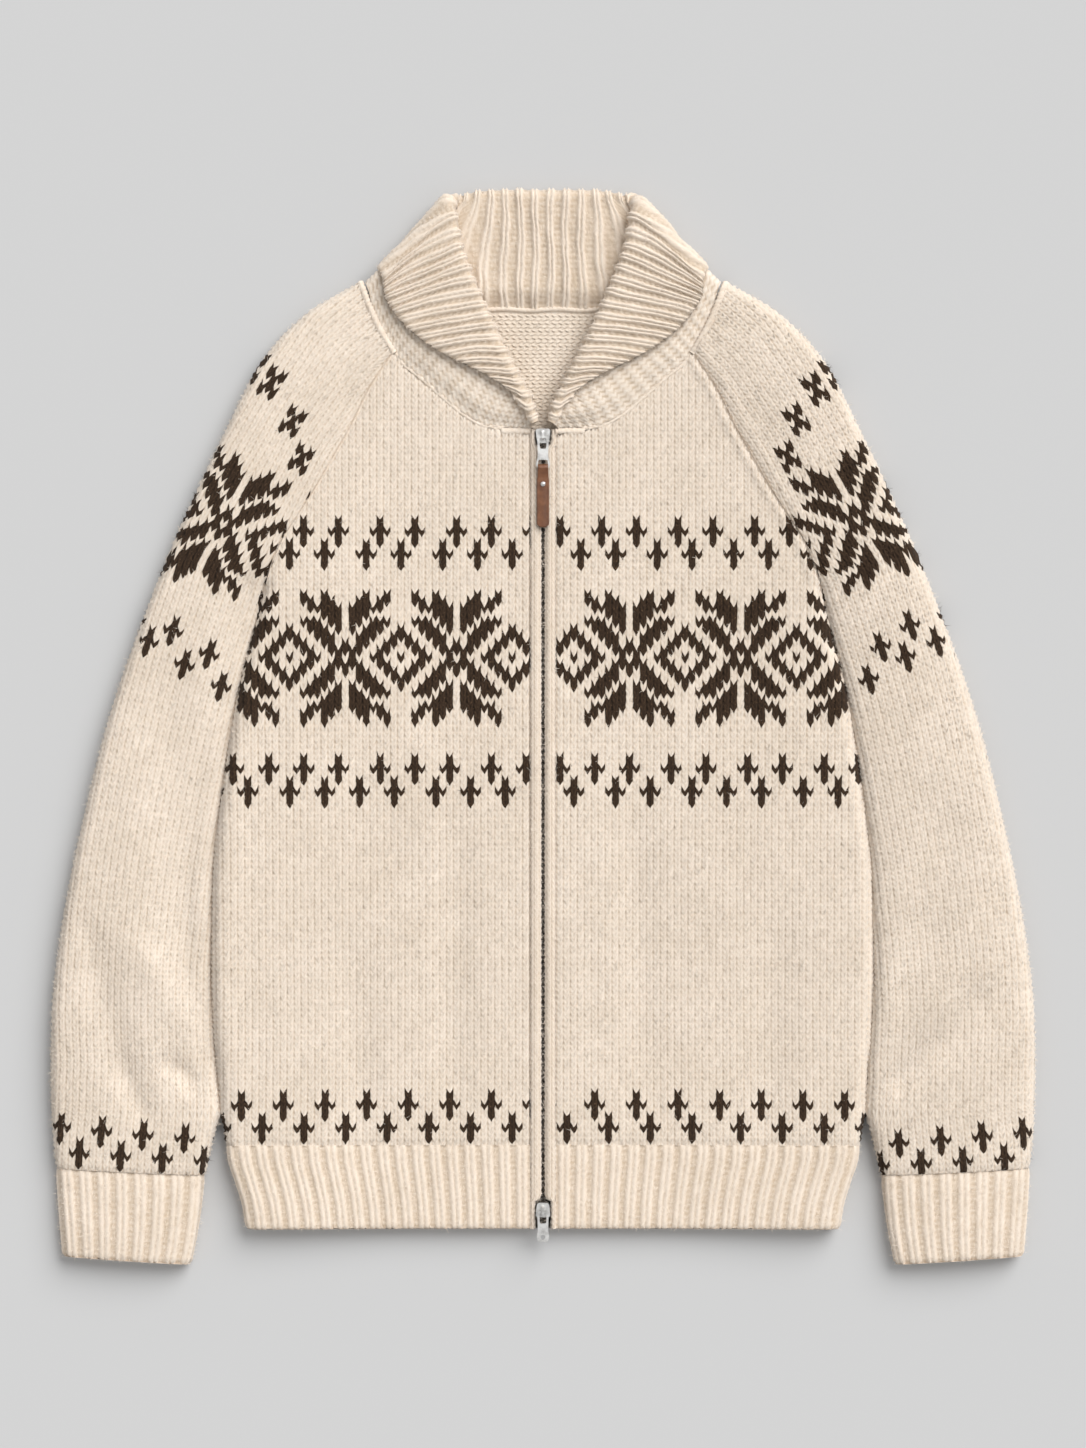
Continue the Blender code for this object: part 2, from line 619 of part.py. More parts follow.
def box(name, low, high, colour):
    """A block between two corners in millimetres."""
    mesh = bpy.data.meshes.new(name)
    solid = bmesh.new()
    bmesh.ops.create_cube(solid, size=1.0)
    for corner in solid.verts:
        for k in range(3):
            corner.co[k] = (low[k] if corner.co[k] < 0 else high[k]) * MM
    solid.to_mesh(mesh)
    solid.free()
    return new_object(name, mesh, colour)


def rounded(points, radius, steps=4):
    """The corner points of a closed outline, each rounded off."""
    result = []
    for k, here in enumerate(points):
        here = np.array(here, float)
        before, after = np.array(points[k - 1], float), np.array(points[(k + 1) % len(points)], float)
        to_before = (before - here) / np.linalg.norm(before - here)
        to_after = (after - here) / np.linalg.norm(after - here)
        cut = min(radius, 0.45 * np.linalg.norm(before - here), 0.45 * np.linalg.norm(after - here))
        start, end = here + to_before * cut, here + to_after * cut
        for step in range(steps + 1):
            t = step / steps
            result.append(start * (1 - t) ** 2 + here * 2 * t * (1 - t) + end * t * t)
    return result


def circle(x, y, radius, steps=14):
    return [
        (x + radius * math.cos(2 * math.pi * k / steps), y + radius * math.sin(2 * math.pi * k / steps))
        for k in range(steps)
    ]


def plate(name, outlines, thick, colour):
    """A flat outline with holes, in millimetres, extruded to both sides of the XY plane."""
    shape = bpy.data.curves.new(name, "CURVE")
    shape.dimensions = "2D"
    shape.fill_mode = "BOTH"
    shape.extrude = thick / 2 * MM
    for outline in outlines:
        spline = shape.splines.new("POLY")
        spline.points.add(len(outline) - 1)
        for point, (x, y) in zip(spline.points, outline):
            point.co = (x * MM, y * MM, 0, 1)
        spline.use_cyclic_u = True
    holder = bpy.data.objects.new(name, shape)
    bpy.data.collections["cardigan"].objects.link(holder)
    bpy.context.view_layer.update()
    mesh = bpy.data.meshes.new_from_object(holder.evaluated_get(bpy.context.evaluated_depsgraph_get()))
    bpy.data.objects.remove(holder)
    bpy.data.curves.remove(shape)
    solid = bmesh.new()
    solid.from_mesh(mesh)
    bmesh.ops.remove_doubles(solid, verts=solid.verts, dist=1e-6)
    solid.to_mesh(mesh)
    solid.free()
    return new_object(name, mesh, colour)


def joined(keeper, extra):
    """Boolean union of two objects into the first."""
    union = keeper.modifiers.new("union", "BOOLEAN")
    union.operation = "UNION"
    union.object = extra
    bpy.context.view_layer.update()
    result = bpy.data.meshes.new_from_object(keeper.evaluated_get(bpy.context.evaluated_depsgraph_get()))
    keeper.modifiers.clear()
    keeper.data = result
    bpy.data.objects.remove(extra)
    return keeper


def build_slider(name, y, nose):
    """A zip slider: a plate on a core, and the bridge that its pull hangs from. nose 1 opens up, -1 down."""
    half, long = SLIDER_WIDE / 2, SLIDER_LONG / 2
    outline = [(-half, long), (half, long), (half * 0.8, -long), (-half * 0.8, -long)]
    top = plate(name, [rounded([(px, py * nose) for px, py in outline], 2.2)], 1.2, "nickel")
    top.data.transform(Matrix.Translation((0, y * MM, (PLATE_LOW + 0.6) * MM)))
    core = box(name + "_core", (-3.6, y - 4.2, CHAIN_TOP + 0.4), (3.6, y + 4.2, PLATE_LOW + 0.3), "nickel")
    joined(top, core)
    base, crest, thick = PLATE_LOW + 0.8, PULL_Z + 2.4, 0.9
    rear, front = -4.3, PIN_AHEAD + 2.1
    arch = [(rear, base), (rear + 0.6, crest - 0.6), (rear + 2.0, crest), (front - 1.2, crest),
            (front, crest - 1.2), (front, base), (front - thick, base), (front - thick, crest - thick - 0.6),
            (front - 1.4, crest - thick), (rear + 2.2, crest - thick), (rear + 1.4, crest - thick - 0.6),
            (rear + 1.1, base)]
    bridge = plate(name + "_bridge", [arch], 1.9, "nickel")
    for corner in bridge.data.vertices:
        along, up, sideways = corner.co
        corner.co = (sideways, y * MM - nose * along, up)
    flip_if_inside_out(bridge.data)
    return joined(top, bridge)


def flip_if_inside_out(mesh):
    solid = bmesh.new()
    solid.from_mesh(mesh)
    bmesh.ops.recalc_face_normals(solid, faces=solid.faces)
    solid.to_mesh(mesh)
    solid.free()


def build_pull(name, pivot_y, long, end_half, hole):
    """A metal pull that hangs down from a slider's bridge. end_half is half its width near its lower end."""
    outline = [(-4.2, 0.8), (4.2, 0.8), (3.7, -14.0), (end_half, -long + 3.2), (3.4, -long)]
    outline += [(-3.4, -long), (-end_half, -long + 3.2), (-3.7, -14.0)]
    eye = [(-2.6, -0.8), (2.6, -0.8), (2.3, -8.4), (-2.3, -8.4)]
    thing = plate(name, [rounded(outline, 2.0), rounded(eye, 1.3), hole], PULL_THICK, "nickel")
    thing.location = (0, pivot_y * MM, PULL_Z * MM)
    return thing


def ring_hole(long):
    """The opening above the bar at the end of the top pull, where the leather loops round."""
    low, high = -long + BAR, -long + 6.6
    return rounded([(-4.05, low), (4.05, low), (3.2, high), (-3.2, high)], 0.9)


TOP_PIVOT_Y = TOP_SLIDER_Y - PIN_AHEAD
BOTTOM_PIVOT_Y = BOTTOM_SLIDER_Y - PIN_AHEAD
TOP_PULL_LONG = 23.0
BOTTOM_PULL_LONG = 21.6
BAR = 1.5  # width of the bar that the leather loops round
BAR_Y = TOP_PIVOT_Y - TOP_PULL_LONG + BAR / 2
RIVET_DOWN = 11.5  # from the bar to the rivet
TAB_LONG = 42.0
LEATHER = 1.45


def build_tab():
    """A leather strap folded round the bar of the pull and riveted: its side view, extruded across."""
    eye, skin = 1.35, 1.35 + LEATHER
    low = BAND_TOP + 0.35 - PULL_Z
    high = low + 2 * LEATHER
    outline = [(skin * math.sin(a), skin * math.cos(a)) for a in np.linspace(0.0, math.pi, 9)]
    outline += [(-6.0, low), (-TAB_LONG, low), (-TAB_LONG - 0.4, (low + high) / 2), (-TAB_LONG, high)]
    outline += [(-6.5, high)]
    thing = plate("leather_tab", [outline, circle(0, 0, eye)], 1.0, "brown_leather")
    for corner in thing.data.vertices:
        along, up, sideways = corner.co
        half = 3.7 + 0.65 * ramp(4.0, 9.0, -along / MM)
        corner.co = (math.copysign(half * MM, sideways), along, up)
    flip_if_inside_out(thing.data)
    thing.location = (0, BAR_Y * MM, PULL_Z * MM)
    return thing


def build_rivet():
    profile = [(0.0, 0.9), (0.9, 0.75), (1.7, 0.2), (1.7, 0.0), (0.0, 0.0)]
    mesh = bpy.data.meshes.new("tab_rivet")
    mesh.from_pydata([(r * MM, 0, z * MM) for r, z in profile], [(k, k + 1) for k in range(4)], [])
    thing = new_object("tab_rivet", mesh, "nickel")
    turn = thing.modifiers.new("turn", "SCREW")
    turn.steps = turn.render_steps = 16
    turn.use_merge_vertices = True
    turn.merge_threshold = 1e-5
    thing.location = (0, (BAR_Y - RIVET_DOWN) * MM, (BAND_TOP + 0.35 + 2 * LEATHER + 0.3) * MM)
    return thing


def main():
    for thing in list(bpy.data.objects):
        bpy.data.objects.remove(thing)
    garment = bpy.data.collections.new("cardigan")
    bpy.context.scene.collection.children.link(garment)
    for word, side in (("right", -1), ("left", 1)):
        build_front("front_" + word, side)
        build_hem_front("hem_front_" + word, side)
        build_sleeve("sleeve_" + word, side)
        build_cuff("cuff_" + word, side)
        build_band("band_" + word, side)
        tape_x = sorted((side * 3.2, side * 15.0))
        box("zip_tape_" + word, (tape_x[0], HEM_Y + 2, 6.2), (tape_x[1], NECK_Y, 7.1), "zip_tape")
    back_rows = [y for y in FRONT_ROWS if y <= ARMPIT_Y] + [160, 205, 250, BACK_NECK_Y]
    build_flat("back", back_rows, 2, "cream_wool")
    build_flat("hem_back", HEM_ROWS, 2, "cream_rib")
    build_collar()
    box("zip_chain", (-2.9, HEM_Y + 2, CHAIN_LOW), (2.9, TOP_SLIDER_Y, CHAIN_TOP), "dark_teeth")
    build_slider("top_slider", TOP_SLIDER_Y, 1)
    build_slider("bottom_slider", BOTTOM_SLIDER_Y, -1)
    build_pull("top_pull", TOP_PIVOT_Y, TOP_PULL_LONG, 5.2, ring_hole(TOP_PULL_LONG))
    build_pull("bottom_pull", BOTTOM_PIVOT_Y, BOTTOM_PULL_LONG, 4.6, circle(0, 3.4 - BOTTOM_PULL_LONG, 1.7))
    build_tab()
    build_rivet()


main()
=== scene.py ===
"""Looks of the zip-up cardigan: knitted faces with charted motifs, ribs, zip, leather tab, floor, light and camera.

Knitted pieces are grids of V-shaped stitches laid over the same sections as the solids. Tables are in millimetres;
X runs to the wearer's left, Y up to the collar, Z up from the surface. Half tables serve both sides.
"""
import math
from typing import NamedTuple

import bpy
import numpy as np
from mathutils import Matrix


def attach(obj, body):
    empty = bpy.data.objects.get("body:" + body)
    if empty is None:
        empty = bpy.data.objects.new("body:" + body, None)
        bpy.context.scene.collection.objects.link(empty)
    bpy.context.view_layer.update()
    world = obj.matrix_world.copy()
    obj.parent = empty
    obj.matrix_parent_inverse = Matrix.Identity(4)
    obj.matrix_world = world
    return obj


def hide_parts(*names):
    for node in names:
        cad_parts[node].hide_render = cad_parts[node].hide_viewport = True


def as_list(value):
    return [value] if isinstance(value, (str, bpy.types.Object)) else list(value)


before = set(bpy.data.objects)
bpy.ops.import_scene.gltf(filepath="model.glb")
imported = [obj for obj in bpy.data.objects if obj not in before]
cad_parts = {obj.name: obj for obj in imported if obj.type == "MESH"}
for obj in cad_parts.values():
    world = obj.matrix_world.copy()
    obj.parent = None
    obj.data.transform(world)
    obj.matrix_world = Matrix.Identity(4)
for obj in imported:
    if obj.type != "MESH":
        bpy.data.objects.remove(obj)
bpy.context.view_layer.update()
MM = 0.001
BODY = "garment"

# ---------------------------------------------------------------- sizes shared with the solids, in millimetres
WALL = 4.5
SEAM = 0.3  # gap between two sewn pieces
LAYER = WALL + SEAM
FRONT_MID = 12.3  # height of the fronts beside the zip
SIDE_TOP = 17.0  # height of the fronts where they roll over the side
SIDE_R = SIDE_TOP / 2
SHOULDER_HALF = 190.0  # half width over which the fronts rise above the armpits
HEM_TOP_Y = -301.7  # where the hem's rib starts
HEM_Y = -361.8  # lower edge of the hem
NECK_Y = 213.4  # top of the front bands
BACK_NECK_Y = 300.0
ARMPIT_Y = 112.0
FRONT_DROP = 0.6  # the fronts end this far below the neck seam
BAND_IN = 1.4  # inner edge of a front band, beside the teeth
BAND_OUT = 9.4
BAND_TOP = 13.2
CREASE_R = 3.3  # roll of the collar's stand at the shoulder
CREASE_EASE = 1.2  # the fall stands this much further off the stand there
FOLD_R = 3.1  # roll of the collar's top edge
NECK_GAP = 0.9  # the stand starts this far inside the neck seam
RISE_LONG = 14.0  # length over which the stand rises from the seam
EDGE_SHARE = 0.42  # roll of a sleeve's edges as a part of its height
NECK_BOW = 2.2  # the sleeve's neck edge curves in by this much
HEM_RIBS = 19  # on each front
BACK_HEM_RIBS = 33
CUFF_RIBS = 17  # all round a cuff
COLLAR_RIBS = 26  # on each half of the collar
TOP_SLIDER_Y = 208.6
BOTTOM_SLIDER_Y = -348.0
SLIDER_LONG = 10.4
NOTCH = 5.9  # half width of the gap that the bands leave for a slider
CHAIN_TOP = 9.1

# ---------------------------------------------------------------- sizes of the knitting
COLUMN = 5.0  # width of a stitch
ROW = 4.1  # height of a stitch in plain knitting
STAR_ROW = 5.1  # height of a stitch in the band of stars, where two yarns are carried
STAR_HALF = 49.0  # half height of that band
STAR_REPEAT = 16  # columns from one star to the next
SLANT = 0.9  # how far a stitch's middle dips, in rows
LEG_HIGH = 1.3  # rounding of a stitch's legs
UNEVEN = 0.09  # spread of the stitches' heights
QUARTERS = 4  # points across a stitch
HALVES = 2  # points along a stitch
RIB_HIGH = 1.3
COLLAR_RIB_HIGH = 1.1
HEM_RELIEF = 0.7  # the hem's and cuffs' ribs are stretched flatter than the collar's
CLOSED = 0.25  # how far the knitted faces run past their solids' seams, so that no seam gapes
TUCK = 5.0  # how much lower the right sleeve's inner edge lies, tucked in beside the body
PLUMP = 2.6  # how much the right front bulges beside that edge


def table(kind, *rows):
    """A table whose rows have named columns."""
    return [kind(*row) for row in rows]


class Edge(NamedTuple):
    """A point of a half outline: x is the distance from the zip."""

    y: float
    x: float


SIDE_EDGE = table(
    Edge, (-362, 213.2), (-345, 216.0), (-327, 221.5), (-312, 226.5), (-295, 228.5), (-262, 231.5), (-228, 235.0),
    (-175, 236.9), (-97, 235.1), (-55, 229.8), (-10, 223.6), (33, 215.3), (75, 204.4), (112, 196.4),
)
RAGLAN = table(
    Edge, (112, 196.6), (133, 187.9), (150, 177.3), (171, 163.8), (193, 151.2), (217, 137.6), (242, 125.6),
    (269.6, 107.6),
)
NECKLINE = table(
    Edge, (213.4, 12.0), (214.6, 38.0), (221, 53.0), (236, 72.0), (250, 88.0), (261, 101.5), (269.6, 107.4),
)
BACK_EDGE = table(Edge, (112, 188.0), (150, 171.0), (200, 146.0), (250, 123.0), (300, 101.0))


class Fold(NamedTuple):
    """A soft trough (depth above 0) or ridge (below 0) along a line on the upper face."""

    x0: float
    y0: float
    x1: float
    y1: float
    width: float
    depth: float


FOLDS = table(
    Fold,
    (-136, -165, -130, -300, 15, 3.0),
    (-63, -50, -66, -270, 14, 3.0),
    (66, -60, 74, -255, 14, 2.8),
    (168, -150, 158, -300, 17, 3.4),
    (-105, 60, -84, -80, 24, -1.6),
    (120, 40, 112, -120, 24, -1.6),
    (-327, -150, -300, -255, 13, 3.6),
    (-304, -240, -284, -285, 9, 2.8),
    (-272, -240, -243, -262, 8, 4.0),
    (-292, -156, -246, -230, 13, -3.0),
    (-264, 20, -263, -180, 21, 4.6),
    (288, -60, 284, -170, 18, 3.2),
    (278, -136, 256, -205, 12, 2.6),
    (318, -190, 287, -228, 12, 3.6),
    (287, -228, 250, -262, 10, 3.6),
    (312, -140, 272, -215, 13, -2.6),
)
FOLD_PAST = 0.3  # a crease fades out to this far past its ends, as a part of its length
FOLD_WITHIN = 0.25  # and from this far within them


class ArmRow(NamedTuple):
    """A section across a sleeve: its inner end, its outer end, where its underside ends, and its height. closed is
    1 where the section is a tube and 0 where it opens into the body."""

    in_x: float
    in_y: float
    out_x: float
    out_y: float
    back_x: float
    back_y: float
    high: float
    closed: float


def arm_row(in_x, in_y, out_x, out_y, high, closed=1.0, back=None):
    """A section whose underside ends at its inner end, unless back says where."""
    return ArmRow(in_x, in_y, out_x, out_y, *(back or (in_x, in_y)), high, closed)


ARM = table(
    arm_row,
    (108.6, 268.4, 131.5, 319.5, 15.0, 0.0, (102.2, 299.2)),
    (126.4, 241.6, 168.0, 298.0, 17.0, 0.0, (112.5, 275.0)),
    (152.0, 192.8, 201.2, 263.5, 19.0, 0.0, (135.0, 225.0)),
    (178.1, 150.0, 231.1, 205.9, 20.0, 0.0, (164.0, 166.0)),
    (191.0, 127.5, 251.0, 164.0, 20.0, 0.0, (181.0, 129.0)),
    (198.2, 110.5, 264.5, 134.0, 20.0, 0.15, (198.0, 104.0)),
    (203.0, 91.0, 273.5, 111.5, 20.0, 0.7),
    (209.6, 66.0, 284.5, 84.0, 20.0),
    (218.6, 30.0, 298.5, 46.0, 20.0),
    (226.6, -15.0, 313.0, 2.0, 20.5),
    (233.8, -65.0, 326.0, -49.0, 21.0),
    (238.2, -115.0, 338.0, -102.0, 21.0),
    (238.9, -165.0, 347.5, -156.0, 21.0),
    (237.6, -212.0, 352.8, -205.0, 21.0),
    (234.4, -250.0, 353.8, -244.0, 20.5),
    (234.0, -276.0, 353.4, -270.0, 20.0),
    (239.0, -300.0, 352.2, -294.5, 19.0),
    (244.2, -323.4, 350.0, -318.4, 18.0),
)
CUFF = table(
    arm_row,
    (244.6, -323.8, 350.0, -318.8, 17.0),
    (245.6, -336.0, 349.4, -331.0, 17.6),
    (249.0, -362.0, 347.6, -357.0, 17.6),
    (254.0, -387.6, 345.6, -381.6, 16.6),
)
CUFF_TOP_Y, CUFF_Y = CUFF[0].in_y, CUFF[-1].in_y


class CollarRow(NamedTuple):
    """One line across the collar: its neck seam, its top fold and its free edge. turn is 0 where the collar faces
    up, 90 at the shoulder and 180 behind the neck, where it faces the surface below."""

    at: float
    neck_x: float
    neck_y: float
    fold_x: float
    fold_y: float
    edge_x: float
    edge_y: float
    turn: float


COLLAR = table(
    CollarRow,
    (0.0, 12.0, 214.0, 4.8, 219.0, 7.5, 225.0, 0),
    (2.0, 24.0, 214.2, 9.5, 234.0, 18.5, 237.5, 0),
    (4.0, 38.0, 215.4, 17.6, 249.8, 33.5, 247.6, 0),
    (6.0, 54.0, 222.6, 26.0, 265.5, 50.0, 256.6, 0),
    (8.0, 72.0, 236.8, 34.0, 281.5, 67.0, 264.6, 0),
    (10.0, 88.0, 250.8, 41.5, 298.0, 83.0, 274.2, 0),
    (12.0, 101.0, 261.6, 49.0, 315.5, 97.0, 285.2, 0),
    (14.0, 111.0, 274.5, 56.0, 332.5, 108.0, 298.0, 0),
    (16.0, 118.4, 289.0, 61.0, 349.0, 114.0, 309.0, 0),
    (17.4, 123.6, 303.6, 63.8, 365.9, 115.0, 316.0, 0),
    (18.0, 125.6, 311.0, 64.8, 371.5, 115.0, 320.0, 0),
    (18.5, 126.8, 316.6, 64.5, 375.3, 114.0, 322.6, 45),
    (19.0, 127.0, 318.0, 63.2, 378.1, 112.4, 323.8, 90),
    (19.5, 124.6, 316.6, 60.5, 379.7, 110.8, 324.4, 135),
    (20.0, 118.5, 311.5, 56.8, 380.4, 107.5, 323.6, 180),
    (20.7, 104.0, 302.6, 53.0, 382.0, 101.0, 321.4, 180),
    (21.6, 66.0, 301.2, 46.0, 383.4, 82.0, 318.5, 180),
    (23.4, 30.0, 300.6, 28.0, 384.6, 46.0, 315.0, 180),
    (26.0, 0.0, 300.5, 0.0, 384.6, 0.0, 314.0, 180),
)


# ---------------------------------------------------------------- curves and heights, as in the solids
def curve(keys, values):
    """Smooth curve through the points that never overshoots them."""
    keys, values = np.array(keys, float), np.array(values, float)
    order = np.argsort(keys)
    keys, values = keys[order], values[order]
    slope = np.diff(values) / np.diff(keys)
    tangent = np.zeros(len(keys))
    tangent[0], tangent[-1] = slope[0], slope[-1]
    for i in range(1, len(keys) - 1):
        if slope[i - 1] * slope[i] > 0:
            tangent[i] = 2 * slope[i - 1] * slope[i] / (slope[i - 1] + slope[i])

    def at(key):
        key = min(max(key, keys[0]), keys[-1])
        i = min(int(np.searchsorted(keys, key, side="right")) - 1, len(keys) - 2)
        step = keys[i + 1] - keys[i]
        t = (key - keys[i]) / step
        return float(
            values[i] * (1 + 2 * t) * (1 - t) ** 2
            + tangent[i] * step * t * (1 - t) ** 2
            + values[i + 1] * t * t * (3 - 2 * t)
            + tangent[i + 1] * step * t * t * (t - 1)
        )

    return at


def edge_curve(edge):
    return curve([row.y for row in edge], [row.x for row in edge])


side_edge = edge_curve(SIDE_EDGE)
raglan = edge_curve(RAGLAN)
neckline = edge_curve(NECKLINE)
back_edge = edge_curve(BACK_EDGE)


def ramp(low, high, value):
    """0 below low, 1 above high, smooth between."""
    t = min(max((value - low) / (high - low), 0.0), 1.0)
    return t * t * (3 - 2 * t)


def folds(x, y):
    """How far the creases lower the upper face at a point."""
    drop = 0.0
    for fold in FOLDS:
        run_x, run_y = fold.x1 - fold.x0, fold.y1 - fold.y0
        length = math.hypot(run_x, run_y)
        along = ((x - fold.x0) * run_x + (y - fold.y0) * run_y) / length**2
        if not -FOLD_PAST < along < 1 + FOLD_PAST:
            continue
        across = ((x - fold.x0) * run_y - (y - fold.y0) * run_x) / length
        fade = ramp(-FOLD_PAST, FOLD_WITHIN, along) * (1 - ramp(1 - FOLD_WITHIN, 1 + FOLD_PAST, along))
        drop += fold.depth * fade * math.exp(-((across / fold.width) ** 2))
    return drop


def front_top(x, y):
    """Height of the fronts' outer face."""
    reach = abs(x) / (SHOULDER_HALF if y > ARMPIT_Y else side_edge(y) - SIDE_R)
    return FRONT_MID + (SIDE_TOP - FRONT_MID) * ramp(0.4, 1.0, reach) - folds(x, y)


UP = (0.0, 0.0, 1.0)
DOWN = (0.0, 0.0, -1.0)
PATH_STEPS = 40
ARC_STEPS = 14


def arc(centre, radius, across, start, end):
    """Path round a roll of cloth: centre is a point, across its level direction, angles in degrees, 90 is up."""
    path = []
    for k in range(ARC_STEPS + 1):
        angle = math.radians(start + (end - start) * k / ARC_STEPS)
        normal = (across[0] * math.cos(angle), across[1] * math.cos(angle), math.sin(angle))
        path.append((tuple(centre[i] + radius * normal[i] for i in range(3)), normal))
    return path


def length_of(path):
    points = np.array([point for point, _ in path], float)
    return float(np.linalg.norm(np.diff(points, axis=0), axis=1).sum())


def front_path(y, side):
    """Across one front at a height y, and the distance from the band's edge at which the piece starts."""
    inner_x = BAND_OUT - CLOSED if y <= NECK_Y - FRONT_DROP else neckline(y + FRONT_DROP) - CLOSED
    sweep = 180 * (1 - ramp(ARMPIT_Y - 26, ARMPIT_Y, y))
    if y <= ARMPIT_Y:
        outer_x = side_edge(y) - SIDE_R * math.sin(math.radians(min(sweep, 90)))
    else:
        outer_x = raglan(y) + CLOSED
    path = []
    for k in range(PATH_STEPS + 1):
        x = inner_x + (outer_x - inner_x) * k / PATH_STEPS
        path.append(((x * side, y, front_top(x * side, y)), UP))
    if y < ARMPIT_Y:
        path += arc((outer_x * side, y, SIDE_R), SIDE_R, (side, 0), 90, 90 - sweep)[1:]
    return path, inner_x - BAND_OUT - SEAM


class Smooth:
    """Smooth curves through the rows of a table, one for each column."""

    def __init__(self, rows, keys):
        self.row = type(rows[0])
        self.curves = [curve(keys, column) for column in zip(*rows)]

    def at(self, key):
        return self.row(*(one(key) for one in self.curves))


ARM_SHAPE = Smooth(ARM, [row.in_y for row in ARM])
CUFF_SHAPE = Smooth(CUFF, [row.in_y for row in CUFF])
COLLAR_SHAPE = Smooth(COLLAR, [row.at for row in COLLAR])


def arm_path(row, side, bow=0.0):
    """Round a sleeve: from its front seam over the top, round the outer edge and back along the surface.

    Also the distance at which it starts, counted from the middle of its upper face."""
    start = np.array([row.in_x, row.in_y])
    end = np.array([row.out_x, row.out_y])
    width = float(np.linalg.norm(end - start))
    across = (end - start) / width
    bowed = np.array([across[1], -across[0]]) * bow
    roll = EDGE_SHARE * row.high
    seam_z = front_top(row.in_x * side, row.in_y)
    start_z = seam_z + (2 * roll - seam_z) * ramp(0.0, 1.0, row.closed)
    tucked = TUCK * row.closed * (side < 0) * ramp(HEM_TOP_Y + 20, HEM_TOP_Y + 70, row.in_y)  # none at the cuff
    start_z -= tucked
    sweep = 180 * row.closed
    start_w = start_z / 2 * math.sin(math.radians(min(sweep, 90)))
    end_w = width - roll

    def plan(w):
        part = min(max(w / width, 0.0), 1.0)
        x, y = start + across * w + bowed * 4 * part * (1 - part)
        return x * side, y

    level = (across[0] * side, across[1])
    path = []
    if row.closed > 0:
        path += arc((*plan(start_w), start_z / 2), start_z / 2, level, 90 + sweep, 90)[:-1]
    turned = len(path)
    for k in range(PATH_STEPS + 1):
        part = k / PATH_STEPS
        x, y = plan(start_w + (end_w - start_w) * part)
        rise = (2 * roll - start_z - tucked) * ramp(0.0, 0.7, part) + tucked * ramp(0.0, 0.4, part)
        crown = (row.high - 2 * roll) * (4 * part * (1 - part)) ** 0.8
        crease = folds(x, y) * ramp(0.0, 0.14, part) * ramp(0.0, 0.15, 1 - part)
        path.append(((x, y, start_z + rise + crown - crease), UP))
    middle = length_of(path[: turned + PATH_STEPS // 2 + 1])
    path += arc((*plan(end_w), roll), roll, level, 90, -90)[1:]
    back = np.array([row.back_x, row.back_y])
    under = start + across * (start_z / 2 + SEAM)
    stop = back + (under - back) * ramp(0.6, 1.0, row.closed)
    path.append(((stop[0] * side, stop[1], 0.0), DOWN))
    return path, -middle


def sleeve_path(y, side):
    row = ARM_SHAPE.at(y)
    if y >= ARMPIT_Y:
        row = row._replace(in_x=raglan(y) - CLOSED)
    return arm_path(row, side, NECK_BOW * ramp(ARM[1].in_y, ARM[0].in_y, y))


def cuff_path(y, side):
    return arm_path(CUFF_SHAPE.at(y), side)


# ---------------------------------------------------------------- outer faces as surfaces
def gone_along(line):
    """Distance from a line's start at each of its points."""
    return np.concatenate([[0.0], np.cumsum(np.linalg.norm(np.diff(line, axis=0), axis=1))])


def read_off(stops, gone, rows):
    """Rows of three numbers, read off at stops along a line."""
    return np.stack([np.interp(stops, gone, rows[:, k]) for k in range(3)], axis=1)


class Face:
    """An outer face of cloth, from lines of points and directions. s is a distance along a line, key picks the line.

    first is the s at which each line starts."""

    def __init__(self, keys, lines, first, samples=240):
        self.keys, self.samples = np.array(keys, float), samples
        points, normals, high = [], [], []
        for (at, facing), start in zip(lines, first):
            at, facing = np.asarray(at, float), np.asarray(facing, float)
            gone = gone_along(at)
            stops = np.linspace(0.0, gone[-1], samples)
            points.append(read_off(stops, gone, at))
            normals.append(read_off(stops, gone, facing))
            high.append(start + gone[-1])
        self.points, self.normals = np.array(points), np.array(normals)
        self.low, self.high = np.array(first, float), np.array(high)

    def limits(self, key):
        return np.interp(key, self.keys, self.low), np.interp(key, self.keys, self.high)

    def sample(self, s, key):
        """Points and outward directions; both are held inside the piece's edges."""
        key = np.clip(key, self.keys[0], self.keys[-1])
        low, high = self.limits(key)
        across = np.clip((s - low) / np.maximum(high - low, 1e-6), 0.0, 1.0) * (self.samples - 1)
        j = np.clip(across.astype(int), 0, self.samples - 2)
        i = np.clip(np.searchsorted(self.keys, key, side="right") - 1, 0, len(self.keys) - 2)
        a = (across - j)[..., None]
        b = ((key - self.keys[i]) / (self.keys[i + 1] - self.keys[i]))[..., None]

        def mix(grid):
            near = grid[i, j] * (1 - a) + grid[i, j + 1] * a
            far = grid[i + 1, j] * (1 - a) + grid[i + 1, j + 1] * a
            return near * (1 - b) + far * b

        facing = mix(self.normals)
        return mix(self.points), facing / np.linalg.norm(facing, axis=-1, keepdims=True)


def face_of(keys, path_at, samples=240):
    """A face from a function that gives a path of (point, direction) pairs and its first distance at a key."""
    paths = [path_at(key) for key in keys]
    lines = [([point for point, _ in path], [normal for _, normal in path]) for path, _ in paths]
    return Face(keys, lines, [first for _, first in paths], samples)


def dense(low, high, step=3.0):
    return np.linspace(low, high, max(2, int(round((high - low) / step)) + 1))


# ---------------------------------------------------------------- meshes
SLIVER = 0.02  # faces that span less than this are left out


